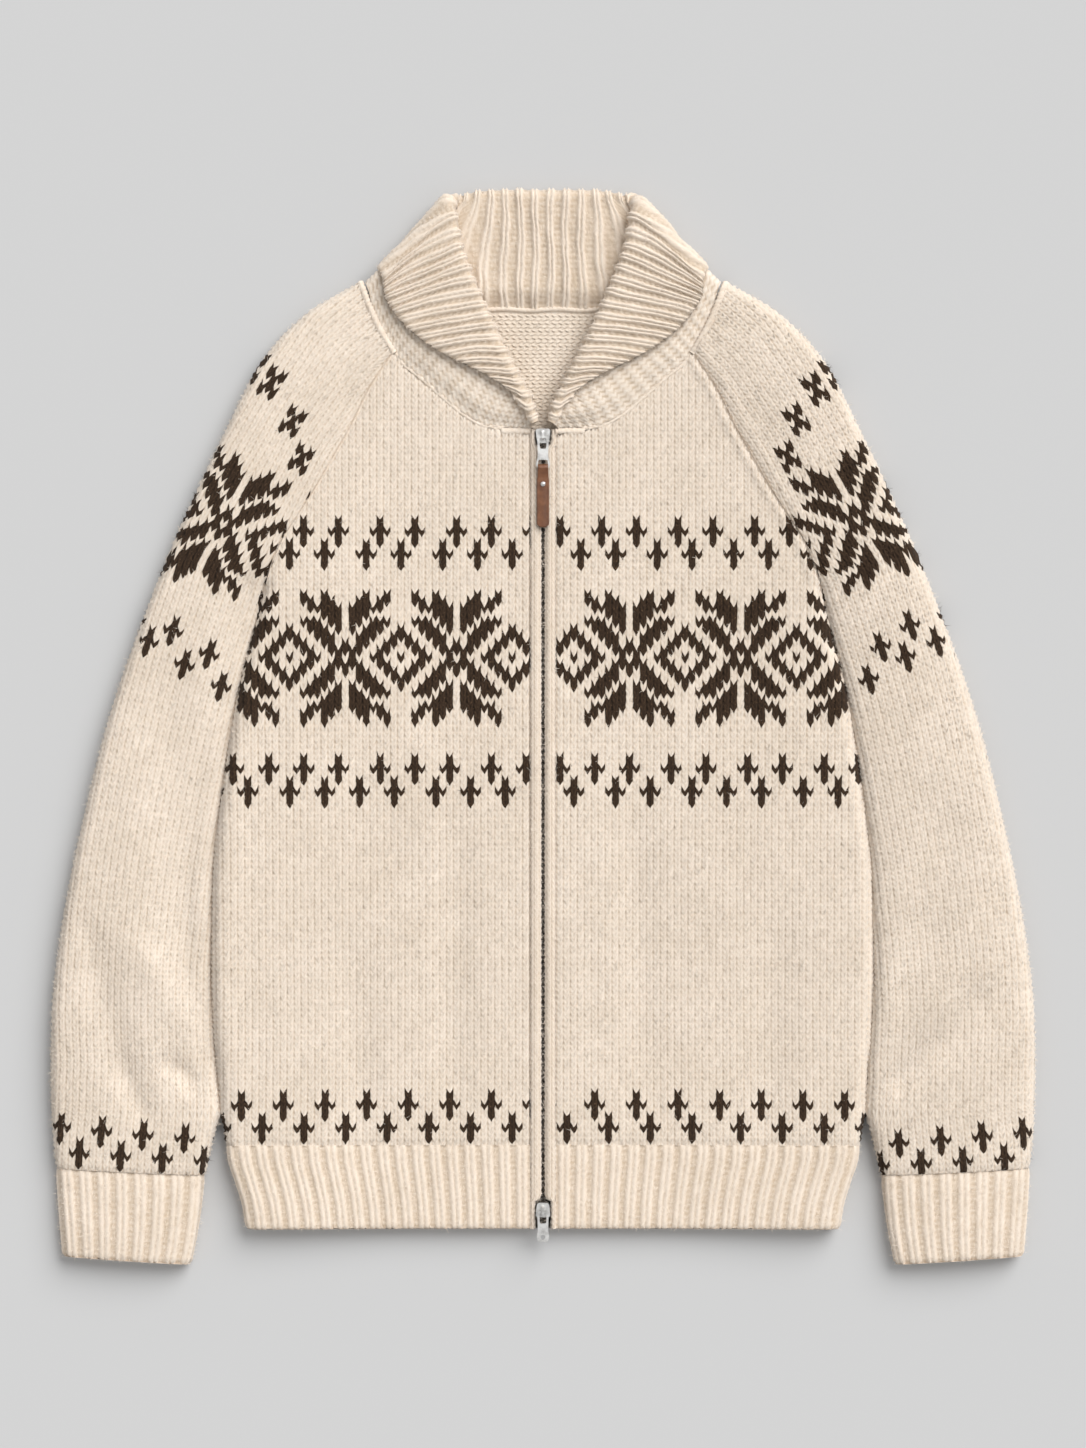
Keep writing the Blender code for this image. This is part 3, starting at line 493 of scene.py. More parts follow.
def new_mesh(name, points, faces, materials, choice=None, smooth=True, shade_and_tone=None):
    """A mesh object from millimetre points and its quads or triangles, without the empty ones.

    choice is each face's material. The last argument is painted light and shade for the yarn's colour: 1 on its
    crests, 0 deep between the stitches, with some random tone."""
    points = np.asarray(points, float).reshape(-1, 3)
    faces = np.asarray(faces, int)
    sides = faces.shape[1]
    a, b, c, d = (points[faces[:, k]] for k in (0, 1, 2, sides - 1))
    keep = np.linalg.norm(np.cross(c - a, d - b), axis=1) > SLIVER
    faces = faces[keep]
    mesh = bpy.data.meshes.new(name)
    mesh.vertices.add(len(points))
    mesh.vertices.foreach_set("co", (points * MM).ravel().astype(np.float32))
    mesh.loops.add(faces.size)
    mesh.loops.foreach_set("vertex_index", faces.ravel().astype(np.int32))
    mesh.polygons.add(len(faces))
    mesh.polygons.foreach_set("loop_start", (np.arange(len(faces)) * sides).astype(np.int32))
    for material in materials:
        mesh.materials.append(material)
    if choice is not None:
        mesh.polygons.foreach_set("material_index", np.asarray(choice)[keep].astype(np.int32))
    mesh.polygons.foreach_set("use_smooth", np.full(len(faces), smooth))
    mesh.update(calc_edges=True)
    crests = np.ones(len(points)) if shade_and_tone is None else np.asarray(shade_and_tone, float).ravel()
    mesh.attributes.new("shade_and_tone", "FLOAT", "POINT").data.foreach_set("value", crests.astype(np.float32))
    mesh.validate()
    return add_object(name, mesh)


def add_object(name, data, location=(0, 0, 0)):
    thing = bpy.data.objects.new(name, data)
    thing.location = location
    bpy.context.scene.collection.objects.link(thing)
    return thing


def quads(rows, columns, start=0):
    """Index quads of a grid of points."""
    i, j = np.meshgrid(np.arange(rows - 1), np.arange(columns - 1), indexing="ij")
    corner = (start + i * columns + j).ravel()
    return np.stack([corner, corner + 1, corner + columns + 1, corner + columns], axis=1)


def facing_up(faces, side):
    """Quads turned so that they face outwards on the wearer's left (side 1) or right (side -1)."""
    return faces if side > 0 else faces[:, ::-1]


def grid_mesh(name, points, side, materials, choice=None, shade_and_tone=None):
    """A mesh over a grid of points whose columns run outwards from the zip on that side."""
    faces = facing_up(quads(*np.shape(points)[:2]), -side)
    return new_mesh(name, points, faces, materials, choice, shade_and_tone=shade_and_tone)


def stitch_grid(first, last, rows, quarters, halves):
    """Column and row coordinates of every point of a field of stitches, its relief, and the painted light and shade of
    the yarn's colour: lighter on the crests, darker in the grooves.

    Rows count downwards. A stitch's middle lies SLANT lower than its sides, so that its two legs make a V. No two
    stitches of a brushed yarn are quite alike, so every point is a little off its place."""
    u = np.arange(first * quarters, last * quarters + 1)
    column, row = np.meshgrid(u / quarters, np.arange(rows * halves + 1) / halves)
    across = np.mod(column, 1.0)
    dip = SLANT * (0.5 - np.abs(2 * across - 1))
    if quarters == 2:
        return column, row + dip, column * 0.0, np.full(column.shape, 0.7)
    crest = np.mod(row, 1.0) == 0.5
    leg = np.where(crest, 1.0, 0.1)
    between_legs = np.where(crest, 0.2, -0.35)
    between_columns = np.where(crest, -0.35, -0.65)
    relief = np.where(across == 0, between_columns, np.where(across == 0.5, between_legs, leg))
    chance = np.random.default_rng(last + rows)
    relief = relief + chance.normal(0.0, UNEVEN, relief.shape)
    column = column + chance.normal(0.0, 0.03, relief.shape)
    row = row + chance.normal(0.0, 0.05, relief.shape)
    # painted light and shade for the yarn's colour: lighter where the stitches stand high, darker deep between them,
    # with a little random tone
    shade_and_tone = np.clip((relief + 0.9) / 1.8 + chance.normal(0.0, 0.05, relief.shape), 0.0, 1.0)
    return column, row + dip, relief * LEG_HIGH, shade_and_tone


def stitch_choice(span, rows, chart, quarters, halves):
    """Which yarn each face of a field of stitches has. chart takes whole stitch numbers."""
    known = np.array([[chart(c, r) for c in range(*span)] for r in range(rows)])
    return np.repeat(np.repeat(known, halves, axis=0), quarters, axis=1).ravel()


# ---------------------------------------------------------------- charts
STAR = [  # dark columns on each side of the middle, from the top row to the middle row
    {6, 3}, {6, 5, 3, 2}, {5, 4, 3, 2, 1}, {3, 2, 1}, {6, 5, 4, 2, 1},
    {5, 4, 3, 1}, {4, 3, 2}, {3, 2, 0}, {2, 1, 0}, {1},
]
DIAMOND = [{0}, {0, 1}, {1, 2}, {2, 3}, {3, 4, 0}]
CROSS = [{0}, {0}, {0, 1}]


def in_chart(chart, across, down):
    """Whether a stitch is dark in a chart that is mirrored about its middle column and its middle row."""
    half = len(chart) - 1
    row = half - abs(down)
    return 0 <= row and abs(across) in chart[row]


def in_star_band(column, down, centre, first=-100):
    """Stars, from the column first on, with a diamond between them: down counts from the band's middle row."""
    half = STAR_REPEAT // 2
    from_star = (column - centre + half) % STAR_REPEAT - half
    from_diamond = (column - centre) % STAR_REPEAT - half
    return (column >= first and in_chart(STAR, from_star, down)) or in_chart(DIAMOND, from_diamond, down)


class RowMap:
    """Heights of the rows of stitches, from the top of a piece down. They are taller in the band of stars."""

    def __init__(self, top, bottom, star_at):
        self.edges = [0.0]
        at = top
        while at > bottom - STAR_ROW:
            at -= STAR_ROW if star_at - STAR_HALF < at <= star_at + STAR_HALF else ROW
            self.edges.append(top - at)
        self.top, self.count = top, len(self.edges) - 1
        self.star = self.row_at(star_at)

    def place(self, row):
        return self.top - np.interp(row, np.arange(len(self.edges)), self.edges)

    def row_at(self, place):
        return int(round(np.interp(self.top - place, self.edges, np.arange(len(self.edges))) - 0.5))


# ---------------------------------------------------------------- materials
class Mat:
    """Builds a node material around one Principled shader."""

    def __init__(self, name):
        self.material = bpy.data.materials.new(name)
        self.material.use_nodes = True
        self.nodes = self.material.node_tree.nodes
        self.links = self.material.node_tree.links
        self.shader = self.nodes["Principled BSDF"]
        self.place = self.nodes.new("ShaderNodeTexCoord").outputs["Object"]

    def give(self, socket, value):
        """Links a socket's value, or sets it."""
        if isinstance(value, bpy.types.NodeSocket):
            self.links.new(value, socket)
        else:
            socket.default_value = value

    def node(self, kind, inputs=None, **settings):
        made = self.nodes.new(kind)
        for key, value in settings.items():
            setattr(made, key, value)
        for key, value in (inputs or {}).items():
            self.give(made.inputs[key], value)
        return made

    def noise(self, scale, detail=3.0, rough=0.5, place=None):
        inputs = {"Vector": place or self.place, "Scale": scale, "Detail": detail, "Roughness": rough}
        return self.node("ShaderNodeTexNoise", inputs).outputs["Fac"]

    def stretched(self, x, y, z):
        return self.node("ShaderNodeMapping", {"Vector": self.place, "Scale": (x, y, z)}).outputs["Vector"]

    def ramp(self, value, *stops):
        made = self.node("ShaderNodeValToRGB", {"Fac": value})
        elements = made.color_ramp.elements
        while len(elements) < len(stops):
            elements.new(0.5)
        for element, (position, colour) in zip(elements, stops):
            element.position = position
            element.color = (*colour, 1)
        return made.outputs["Color"]

    def mix(self, fac, a, b, kind="MIX"):
        return self.node("ShaderNodeMix", {0: fac, 6: a, 7: b}, data_type="RGBA", blend_type=kind).outputs[2]

    def math(self, operation, a, b):
        return self.node("ShaderNodeMath", {0: a, 1: b}, operation=operation).outputs[0]

    def bump(self, height, distance, strength):
        made = self.node("ShaderNodeBump", {"Height": height, "Distance": distance, "Strength": strength})
        self.links.new(made.outputs["Normal"], self.shader.inputs["Normal"])

    def set(self, **values):
        for key, value in values.items():
            self.give(self.shader.inputs[key.replace("_", " ")], value)


def grey(value):
    return (value, value, value)


def yarn(name, crest, middle, groove_shade, fleck, fleck_from, sheen=0.3):
    """Brushed wool: painted light on the crests and painted shade between the stitches, marled fibres and a little
    sheen.
    """
    mat = Mat(name)
    shade_and_tone = mat.node("ShaderNodeAttribute", attribute_name="shade_and_tone").outputs["Fac"]
    fibres = mat.noise(2600.0, 4.0, 0.7)
    cloud = mat.noise(30.0, 3.0, 0.6)
    marl = mat.noise(620.0, 3.0, 0.65)
    # the colour runs from painted shade deep between the stitches, through a half-shaded tone, to the lit crests
    base = mat.ramp(shade_and_tone, (0.0, groove_shade), (0.45, middle), (0.95, crest))
    fine = mat.ramp(fibres, (0.35, grey(0.82)), (0.65, grey(1.06)))
    uneven = mat.ramp(cloud, (0.3, (0.95, 0.94, 0.92)), (0.7, grey(1.03)))
    worked = mat.mix(1.0, mat.mix(0.8, base, fine, "MULTIPLY"), uneven, "MULTIPLY")
    flecks = mat.ramp(marl, (fleck_from, grey(0)), (fleck_from + 0.1, grey(1)))
    mat.set(Base_Color=mat.mix(flecks, worked, (*fleck, 1)), Roughness=0.95)
    mat.set(Sheen_Weight=sheen, Sheen_Roughness=0.6, Specular_IOR_Level=0.15)
    mat.bump(mat.math("ADD", fibres, mat.math("MULTIPLY", marl, 0.7)), 0.0004, 0.8)
    return mat.material


# each yarn's colours: lit crests, a half-shaded tone, painted shade deep between the stitches, then its flecks
CREAM = yarn("cream_yarn", (0.91, 0.81, 0.70), (0.82, 0.70, 0.58), (0.60, 0.47, 0.34), (0.74, 0.61, 0.48), 0.62)
DARK = yarn(
    "dark_yarn", (0.060, 0.035, 0.020), (0.036, 0.021, 0.012), (0.012, 0.007, 0.004), (0.15, 0.09, 0.05), 0.61, 0.05,
)
INSIDE = yarn("cream_reverse", (0.88, 0.78, 0.67), (0.79, 0.67, 0.55), (0.50, 0.38, 0.27), (0.70, 0.57, 0.45), 0.62)


def cotton_tape():
    """Woven zip tape."""
    mat = Mat("zip_tape")
    inputs = {"Vector": mat.stretched(1, 1.6, 1), "Scale": 900.0}
    twill = mat.node("ShaderNodeTexWave", inputs, bands_direction="DIAGONAL").outputs["Fac"]
    shade = mat.ramp(twill, (0.2, (0.55, 0.47, 0.37)), (0.8, (0.72, 0.64, 0.53)))
    mat.set(Base_Color=shade, Roughness=0.85)
    mat.bump(twill, 0.0002, 0.6)
    return mat.material


def metal(name, light, dark, rough):
    """Worn metal with fine scratches and darker stains."""
    mat = Mat(name)
    scratch = mat.noise(900.0, 4.0, 0.7, mat.stretched(6, 1, 1))
    stain = mat.noise(160.0, 4.0, 0.6)
    mat.set(Base_Color=mat.ramp(stain, (0.35, dark), (0.62, light)), Metallic=1.0)
    mat.set(Roughness=mat.math("ADD", mat.math("MULTIPLY", scratch, 0.22), rough))
    mat.bump(mat.math("ADD", scratch, mat.math("MULTIPLY", stain, 0.6)), 0.00008, 0.6)
    return mat.material


def leather():
    """Smooth brown leather with a fine grain and rubbed patches."""
    mat = Mat("brown_leather")
    pores = mat.node("ShaderNodeTexVoronoi", {"Vector": mat.place, "Scale": 1500.0, "Randomness": 1.0})
    patch = mat.noise(120.0, 4.0, 0.6)
    grain = mat.math("SUBTRACT", 1.0, pores.outputs["Distance"])
    tone = mat.ramp(patch, (0.3, (0.085, 0.030, 0.012)), (0.55, (0.155, 0.058, 0.023)), (0.8, (0.25, 0.105, 0.045)))
    mat.set(Base_Color=tone, Roughness=0.42, Specular_IOR_Level=0.5)
    mat.bump(mat.math("ADD", grain, mat.math("MULTIPLY", patch, 1.5)), 0.00015, 0.7)
    return mat.material


TAPE = cotton_tape()
NICKEL = metal("nickel", (0.86, 0.85, 0.83), (0.55, 0.54, 0.52), 0.3)
TEETH = metal("zip_teeth", (0.34, 0.32, 0.30), (0.10, 0.09, 0.08), 0.35)
LEATHER = leather()

# ---------------------------------------------------------------- knitted faces
FACE_LIFT = 0.35  # the stitches stand this much off the solids' faces


def on_floor(points, facing):
    """1 where a face is free to stand proud, near 0 where it lies on the surface below."""
    return np.clip(points[..., 2] / 3.0 + np.clip(facing[..., 2] + 0.6, 0.0, 1.0), 0.12, 1.0)


def rounded_end(gap):
    """How far a face turns in at a distance from its free end."""
    radius = WALL / 2
    inside = np.clip(radius - gap, 0.0, radius)
    return radius - np.sqrt(np.maximum(radius**2 - inside**2, 0.0))


def knitted(name, face, side, span, rows, chart, key_at=None, shift=0.0, relief_at=None, fine=True):
    """A field of stitches over a face. span is the first and last column, shift moves the columns along s, and
    key_at gives the face's keys where the rows' heights aren't keys themselves."""
    quarters, halves = (QUARTERS, HALVES) if fine else (2, 1)
    columns, downs, relief, shade_and_tone = stitch_grid(*span, rows.count, quarters, halves)
    s = columns * COLUMN + shift
    keys = key_at(s, rows.place(downs)) if key_at else rows.place(downs)
    points, facing = face.sample(s, keys)
    low, high = face.limits(keys)
    beyond = (s < low) | (s > high) | (keys < face.keys[0]) | (keys > face.keys[-1])
    free = on_floor(points, facing)
    lift = (np.where(beyond, 0.0, relief) + FACE_LIFT) * free
    if relief_at:
        lift = lift + relief_at(face, s, keys) * free
    choice = stitch_choice(span, rows.count, chart, quarters, halves)
    return grid_mesh(name, points + facing * lift[..., None], side, [CREAM, DARK], choice, shade_and_tone)


# stops across one rib, as parts of it: the knit columns lie between a quarter and three quarters
RIB_POINTS = (0.0, 0.09, 0.17, 0.25, 0.3125, 0.375, 0.4375, 0.5, 0.5625, 0.625, 0.6875, 0.75, 0.83, 0.91)
PURL_POINTS = (0.0, 0.17, 0.33, 0.5, 0.67, 0.83)


def wide_knit(rib):
    """Rib numbers moved so that the knit columns are wider than the purled troughs."""
    part = np.mod(rib + 1e-9, 1.0)
    return rib + np.interp(part, (0.0, 0.25, 0.75, 1.0), (0.0, 0.17, 0.83, 1.0)) - part


def ribbed(name, place, count, length, side, free_end=False, purl=False):
    """Ribs of two knit columns with a purled trough between them, or their reverse, rows of purled bumps.

    place gives points, directions, the ribs' height and the distance to the free end, at rib numbers and at
    distances along the ribs."""
    across = PURL_POINTS if purl else RIB_POINTS
    parts = np.array([k + part for k in range(count) for part in across] + [float(count)])
    halves = np.arange(int(math.ceil(length / ROW)) * 2 + 2)
    rib, half = np.meshgrid(parts, halves)
    part = np.mod(rib + 1e-9, 1.0)
    from_middle = np.abs(part - 0.5)
    crest = np.mod(half, 2) == 1
    # depth is painted light and shade for the yarn's colour: lighter on the knit crests and bumps, darker in the
    # troughs
    if purl:
        dip = 0.25 * np.sin(2 * np.pi * part * 2)
        relief = np.where(crest, 0.8, -0.5) + 0.35 * np.cos(2 * np.pi * (part - 0.5))
        depth = np.clip((relief + 0.85) / 2.0, 0.0, 1.0)
    else:
        in_knit = (part > 0.24) & (part < 0.76)
        rounding = 1 - np.abs(2 * np.mod((part - 0.25) / 0.25, 1.0) - 1)
        dip = SLANT * rounding * in_knit
        strand = np.where(from_middle < 0.01, -0.75, rounding)
        knit = 0.85 * RIB_HIGH + np.where(crest, 1.0, 0.45) * strand - 0.15
        trough = np.where(crest, 0.45, -0.5) - 0.1
        edge = 0.35 * RIB_HIGH + np.where(crest, 0.1, -0.2)
        relief = np.where(np.abs(from_middle - 0.25) < 0.01, edge, np.where(in_knit, knit, trough))
        depth = np.clip((relief + 1.0) / 4.8, 0.0, 1.0)
    chance = np.random.default_rng(count + len(halves))
    relief = relief + chance.normal(0.0, UNEVEN, relief.shape)
    depth = np.clip(depth + chance.normal(0.0, 0.08, relief.shape), 0.0, 1.0)
    dip = dip + chance.normal(0.0, 0.06, relief.shape)
    points, facing, scale, gap = place(rib, (half / 2 + dip - SLANT) * ROW)
    lift = relief * scale * on_floor(points, facing)
    if free_end:
        lift = lift - rounded_end(gap)
    return grid_mesh(name, points + facing * lift[..., None], side, [CREAM], shade_and_tone=depth)


HAIR_SHORT, HAIR_LONG = 1.6, 5.5
HAIR_HALF = 0.15  # half width of a fibre at its root
HAIR_FROM_Z = 3.0  # none grow lower than this


def nap_hairs(name, thing, count, seed):
    """Loose fibres of brushed wool standing off a knitted face, each one thin triangle."""
    mesh = thing.data
    number = len(mesh.polygons)

    def read(what, width=1, kind=float):
        values = np.empty(number * width, kind)
        mesh.polygons.foreach_get(what, values)
        return values.reshape(-1, width) if width > 1 else values

    centre, normal = read("center", 3) / MM, read("normal", 3)
    kind = read("material_index", kind=int)
    area = np.where(centre[:, 2] > HAIR_FROM_Z, read("area"), 0.0)
    chance = np.random.default_rng(seed)
    picked = chance.choice(number, count, p=area / area.sum())
    out = normal[picked]
    root = centre[picked] + chance.uniform(-1.4, 1.4, (count, 3)) - out * 0.3
    lean = chance.normal(size=(count, 3))
    lean -= out * (lean * out).sum(axis=1, keepdims=True)
    lean /= np.linalg.norm(lean, axis=1, keepdims=True)
    rise = np.radians(chance.uniform(4.0, 55.0, (count, 1)))
    length = HAIR_SHORT + (HAIR_LONG - HAIR_SHORT) * chance.beta(1.6, 3.0, (count, 1))
    ahead = lean * np.cos(rise) + out * np.sin(rise)
    wide = np.cross(ahead, out)
    wide *= HAIR_HALF / np.maximum(np.linalg.norm(wide, axis=1, keepdims=True), 1e-6)
    points = np.stack([root - wide, root + wide, root + ahead * length], axis=1).reshape(-1, 3)
    points[:, 2] = np.maximum(points[:, 2], 0.2)
    return new_mesh(name, points, np.arange(count * 3).reshape(-1, 3), list(mesh.materials), kind[picked])


WALL_STEPS = 30  # points across a reverse side
RIM_STEPS = 50  # points along a short edge
RIM_TURNS = 3  # steps from the outer face to the reverse side


def edge_lines(face):
    """The piece's two long edges and two end edges as rows of points and directions."""
    keys = np.linspace(face.keys[0], face.keys[-1], RIM_STEPS * 3)
    low, high = face.limits(keys)
    lines = [face.sample(low, keys), face.sample(high, keys)]
    for key in (face.keys[0], face.keys[-1]):
        a, b = face.limits(key)
        lines.append(face.sample(np.linspace(a, b, RIM_STEPS), np.full(RIM_STEPS, key)))
    return lines


def inner_wall(name, face, side, samples=80):
    """The reverse side of a piece and its edges, a wall's thickness inside its outer face."""
    share = np.linspace(0.0, 1.0, WALL_STEPS)
    keys = np.linspace(face.keys[0], face.keys[-1], samples)
    low, high = face.limits(keys)
    s = low[:, None] + (high - low)[:, None] * share[None, :]
    points, facing = face.sample(s, np.broadcast_to(keys[:, None], s.shape))
    all_points = [(points - facing * WALL).reshape(-1, 3)]
    faces = [facing_up(quads(samples, WALL_STEPS), side)]
    count = samples * WALL_STEPS
    for at, out in edge_lines(face):
        rim = np.array([at - out * WALL * k / RIM_TURNS for k in range(RIM_TURNS + 1)])
        all_points.append(rim.reshape(-1, 3))
        faces.append(quads(*rim.shape[:2], count))
        count += rim.shape[0] * rim.shape[1]
    return new_mesh(name, np.concatenate(all_points), np.concatenate(faces), [INSIDE])


def carry(thing, replaced=(), body=BODY):
    """Puts a piece on its body and hides the solids that it stands for."""
    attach(thing, body)
    if replaced:
        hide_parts(*replaced)
    return thing


class Cut(NamedTuple):
    """A piece as it is cut before sewing: its widest and longest in metres, and its area in square metres."""

    wide: float
    long: float
    area: float


def finish_piece(outer, node, cut, rests_on, extra, hairs=0):
    """Puts a knitted piece on its body in place of its solid, with what goes with it. Its cut is not used."""
    carry(outer, [node])
    if hairs:
        extra = extra + [nap_hairs(node + "_nap", outer, hairs, len(node) + hairs)]
    for thing in extra:
        carry(thing)
    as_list(rests_on)


CORD_STEP = 1.3
CORD_SIDES = 8
CORD_TWIST = 3.2  # length of one rope-like swell


def cord_along(name, line, radius):
    """A rounded sewn ridge along a line of millimetre points, with a slight rope-like swell every stitch."""
    line = np.asarray(line, float)
    gone = gone_along(line)
    stops = np.linspace(0.0, gone[-1], max(4, int(gone[-1] / CORD_STEP)))
    centre = read_off(stops, gone, line)
    ahead = np.gradient(centre, axis=0)
    ahead /= np.linalg.norm(ahead, axis=1, keepdims=True)
    sideways = np.cross(ahead, UP)
    sideways /= np.linalg.norm(sideways, axis=1, keepdims=True)
    up = np.cross(sideways, ahead)
    rings = []
    for k in range(CORD_SIDES + 1):
        angle = 2 * math.pi * k / CORD_SIDES
        swell = radius * (1 + 0.22 * np.sin(2 * math.pi * stops / CORD_TWIST + angle))
        rings.append(centre + (sideways * math.cos(angle) + up * math.sin(angle) * 0.75) * swell[:, None])
    points = np.array(rings).transpose(1, 0, 2)
    shade_and_tone = np.random.default_rng(len(stops)).uniform(0.25, 0.85, points.shape[:2])
    return grid_mesh(name, points, 1, [CREAM], shade_and_tone=shade_and_tone)


# ---------------------------------------------------------------- fronts
FRONT_TOP_Y = 267.4
STAR_Y = 47.5
STAR_COLUMN = 10  # column of the first star's middle on a front
FIRST_STAR_COLUMN = 3  # no star reaches nearer to the zip than this, only the diamond
CROSS_APART = 4  # rows between the two staggered rows of small crosses
BODY_ROWS = RowMap(269.0, HEM_TOP_Y, STAR_Y)  # counted down from just above the fronts' top
FRONT_COLUMNS = (-1, 52)


class Crosses(NamedTuple):
    """A pair of rows of small crosses: the upper row's height, its first column, its step and the lower row's
    shift."""

    place: float
    first: float
    step: float
    shift: float


FRONT_CROSSES = {
    -1: table(Crosses, (140.4, -0.7, 5.45, 2.2), (-28.8, 0.1, 5.3, 2.6), (-274.3, -0.8, 5.95, 2.9)),
    1: table(Crosses, (140.4, 0.5, 5.45, 2.4), (-28.8, -0.3, 5.4, 2.6), (-274.3, -1.5, 6.05, 2.8)),
}


def in_crosses(column, row, rows, bands):
    for band in bands:
        down = row - rows.row_at(band.place)
        for lower in (0, 1):
            offset = band.first + band.shift * lower
            nearest = round(offset + band.step * round((column - offset) / band.step))
            if in_chart(CROSS, column - nearest, down - CROSS_APART * lower):
                return True
    return False


def body_chart(rows, star_column, crosses, first=-100):
    """The chart of a front or the back: a band of stars, and rows of small crosses."""

    def chart(column, row):
        return int(in_star_band(column, row - rows.star, star_column, first) or in_crosses(column, row, rows, crosses))

    return chart


def bell(gap, width):
    """1 where there is no gap, near 0 at twice the width."""
    return np.exp(-((gap / width) ** 2))


def seam_ridge(gap, near, width):
    """A raised ridge beside a seam, and a dip at the seam itself."""
    return 1.3 * bell(gap - near, width) - 0.5 * bell(gap, 1.4)


SIDE_HEIGHTS = np.linspace(HEM_TOP_Y, ARMPIT_Y, 100)
SIDE_AT = np.array([side_edge(y) for y in SIDE_HEIGHTS])
SIDE_GAP = np.array([ARM_SHAPE.at(y).in_x for y in SIDE_HEIGHTS]) - SIDE_AT
SIDE_REACH = (SIDE_GAP / 2 + CLOSED) * np.clip((6.0 - SIDE_GAP) / 2.0, 0.0, 1.0)


def towards_other(facing, keys):
    """How far a front's side and the sleeve beside it bulge to close the gap between them, where they nearly touch."""
    return np.abs(facing[..., 0]) ** 2 * np.interp(keys, SIDE_HEIGHTS, SIDE_REACH) * (keys < ARMPIT_Y)


def front_relief(face, s, keys):
    """The raglan seam's ridge, the sunk lines where the bands and the hem are sewn on, and the right front's bulge
    beside the tucked sleeve."""
    low, high = face.limits(keys)
    along_raglan = np.clip((keys - ARMPIT_Y + 10) / 10, 0.0, 1.0)
    ridge = seam_ridge(np.abs(high - s), 5.5, 3.0) * along_raglan
    beside_band = -0.9 * bell(s - low, 1.5)
    hem = -1.0 * bell(keys - HEM_TOP_Y, 2.0)
    points, facing = face.sample(s, keys)
    beside_sleeve = bell(np.interp(keys, SIDE_HEIGHTS, SIDE_AT) - np.abs(points[..., 0]) - 9.0, 11.0)
    plump = PLUMP * beside_sleeve * np.clip(facing[..., 2], 0.0, 1.0) * (points[..., 0] < 0)
    plump = plump * np.clip((60.0 - keys) / 60.0, 0.0, 1.0) * np.clip((keys + 290.0) / 60.0, 0.0, 1.0)
    return ridge + beside_band + hem + towards_other(facing, keys) + plump


def make_front(word, side):
    node = "front_" + word
    face = face_of(dense(HEM_TOP_Y - CLOSED, FRONT_TOP_Y), lambda y: front_path(y, side))
    chart = body_chart(BODY_ROWS, STAR_COLUMN, FRONT_CROSSES[side], FIRST_STAR_COLUMN)
    outer = knitted(node + "_knit", face, side, FRONT_COLUMNS, BODY_ROWS, chart, relief_at=front_relief)
    wall = inner_wall(node + "_reverse", face, side)
    finish_piece(outer, node, Cut(0.262, 0.571, 0.132), ["back"], [wall], hairs=19000)


def make_ribs(node, face, side, top, foot, count, cut, rests_on, hairs=0, reach=0.0, plain=False):
    """A ribbed piece from its upper edge, top, down to its free end, foot. reach is how far its first row goes past
    its seam. A plain one lies underneath, with even ribs and a square end."""

    def place(rib, along):
        keys = np.clip(top - along, foot, None)
        low, high = face.limits(keys)
        points, facing = face.sample(low + (rib if plain else wide_knit(rib)) / count * (high - low), keys)
        points[..., 1] += reach * np.clip(1.0 - along, 0.0, 1.0)
        drawn_in = 1.0 if plain else np.clip(0.35 + along / 6.0, 0.35, 1.0) * HEM_RELIEF
        return points, facing, drawn_in, np.maximum(keys - foot, 0.0)

    outer = ribbed(node + "_knit", place, count, top - foot, side, free_end=not plain)
    wall = inner_wall(node + "_reverse", face, side, samples=12 if plain else 16)
    finish_piece(outer, node, cut, rests_on, [wall], hairs)


def make_hem_front(word, side):
    top = HEM_TOP_Y + CLOSED
    face = face_of(dense(HEM_Y, top, 2.5), lambda y: front_path(y, side))
    cut = Cut(0.235, 0.06, 0.0139)
    make_ribs("hem_front_" + word, face, side, top, HEM_Y, HEM_RIBS, cut, ["hem_back"], hairs=3000)


# ---------------------------------------------------------------- back
def under_path(y):
    """Across the back's underside, which lies on the surface below."""
    half = back_edge(y) if y >= ARMPIT_Y else side_edge(y) - SIDE_R - SEAM
    return [((half * (k / 20 - 1), y, 0.0), DOWN) for k in range(41)], -half


BACK_COLUMNS = (-48, 48)
NECK_REVERSE_HALF = 66.0  # half width of the bumps that show inside the neck
NECK_REVERSE_LOW_Y = 205.0
BUMP_ROW = 2.7  # height of a row of bumps on the knit's reverse side
BUMP_SHIFT = np.array([0.0, 0.10, 0.34, 0.42, 0.34, 0.10])  # how a bump arches, in rows
BUMP_HIGH = np.array([0.0, 0.55, 0.85, 0.9, 0.85, 0.55])
BUMP_RIDGE = np.array([-0.6, 0.75, 0.45])


def purled(name, half, low_y, high_y, height):
    """The knit's reverse side: rows of small arched bumps, as seen inside the neck."""
    across, down = len(BUMP_HIGH), len(BUMP_RIDGE)
    u, v = np.meshgrid(
        np.arange(int(2 * half / COLUMN) * across + 1), np.arange(int((high_y - low_y) / BUMP_ROW) * down + 1),
    )
    bump, ridge = BUMP_HIGH[np.mod(u, across)], BUMP_RIDGE[np.mod(v, down)]
    x = -half + (u / across + 0.5 * np.mod(v // down, 2)) * COLUMN * 0.96
    y = high_y - (v / down + BUMP_SHIFT[np.mod(u, across)]) * BUMP_ROW
    chance = np.random.default_rng(5)
    x, y = x + chance.normal(0.0, 0.2, x.shape), y + chance.normal(0.0, 0.15, x.shape)
    z = height + ridge * (0.35 + 0.65 * bump) - 0.15
    # painted light on the tops of the bumps and painted shade between them
    shade_and_tone = np.clip(0.15 + 0.5 * bump + 0.35 * ridge, 0.0, 1.0)
    return grid_mesh(name, np.stack([x, y, z], axis=-1), 1, [INSIDE], shade_and_tone=shade_and_tone)


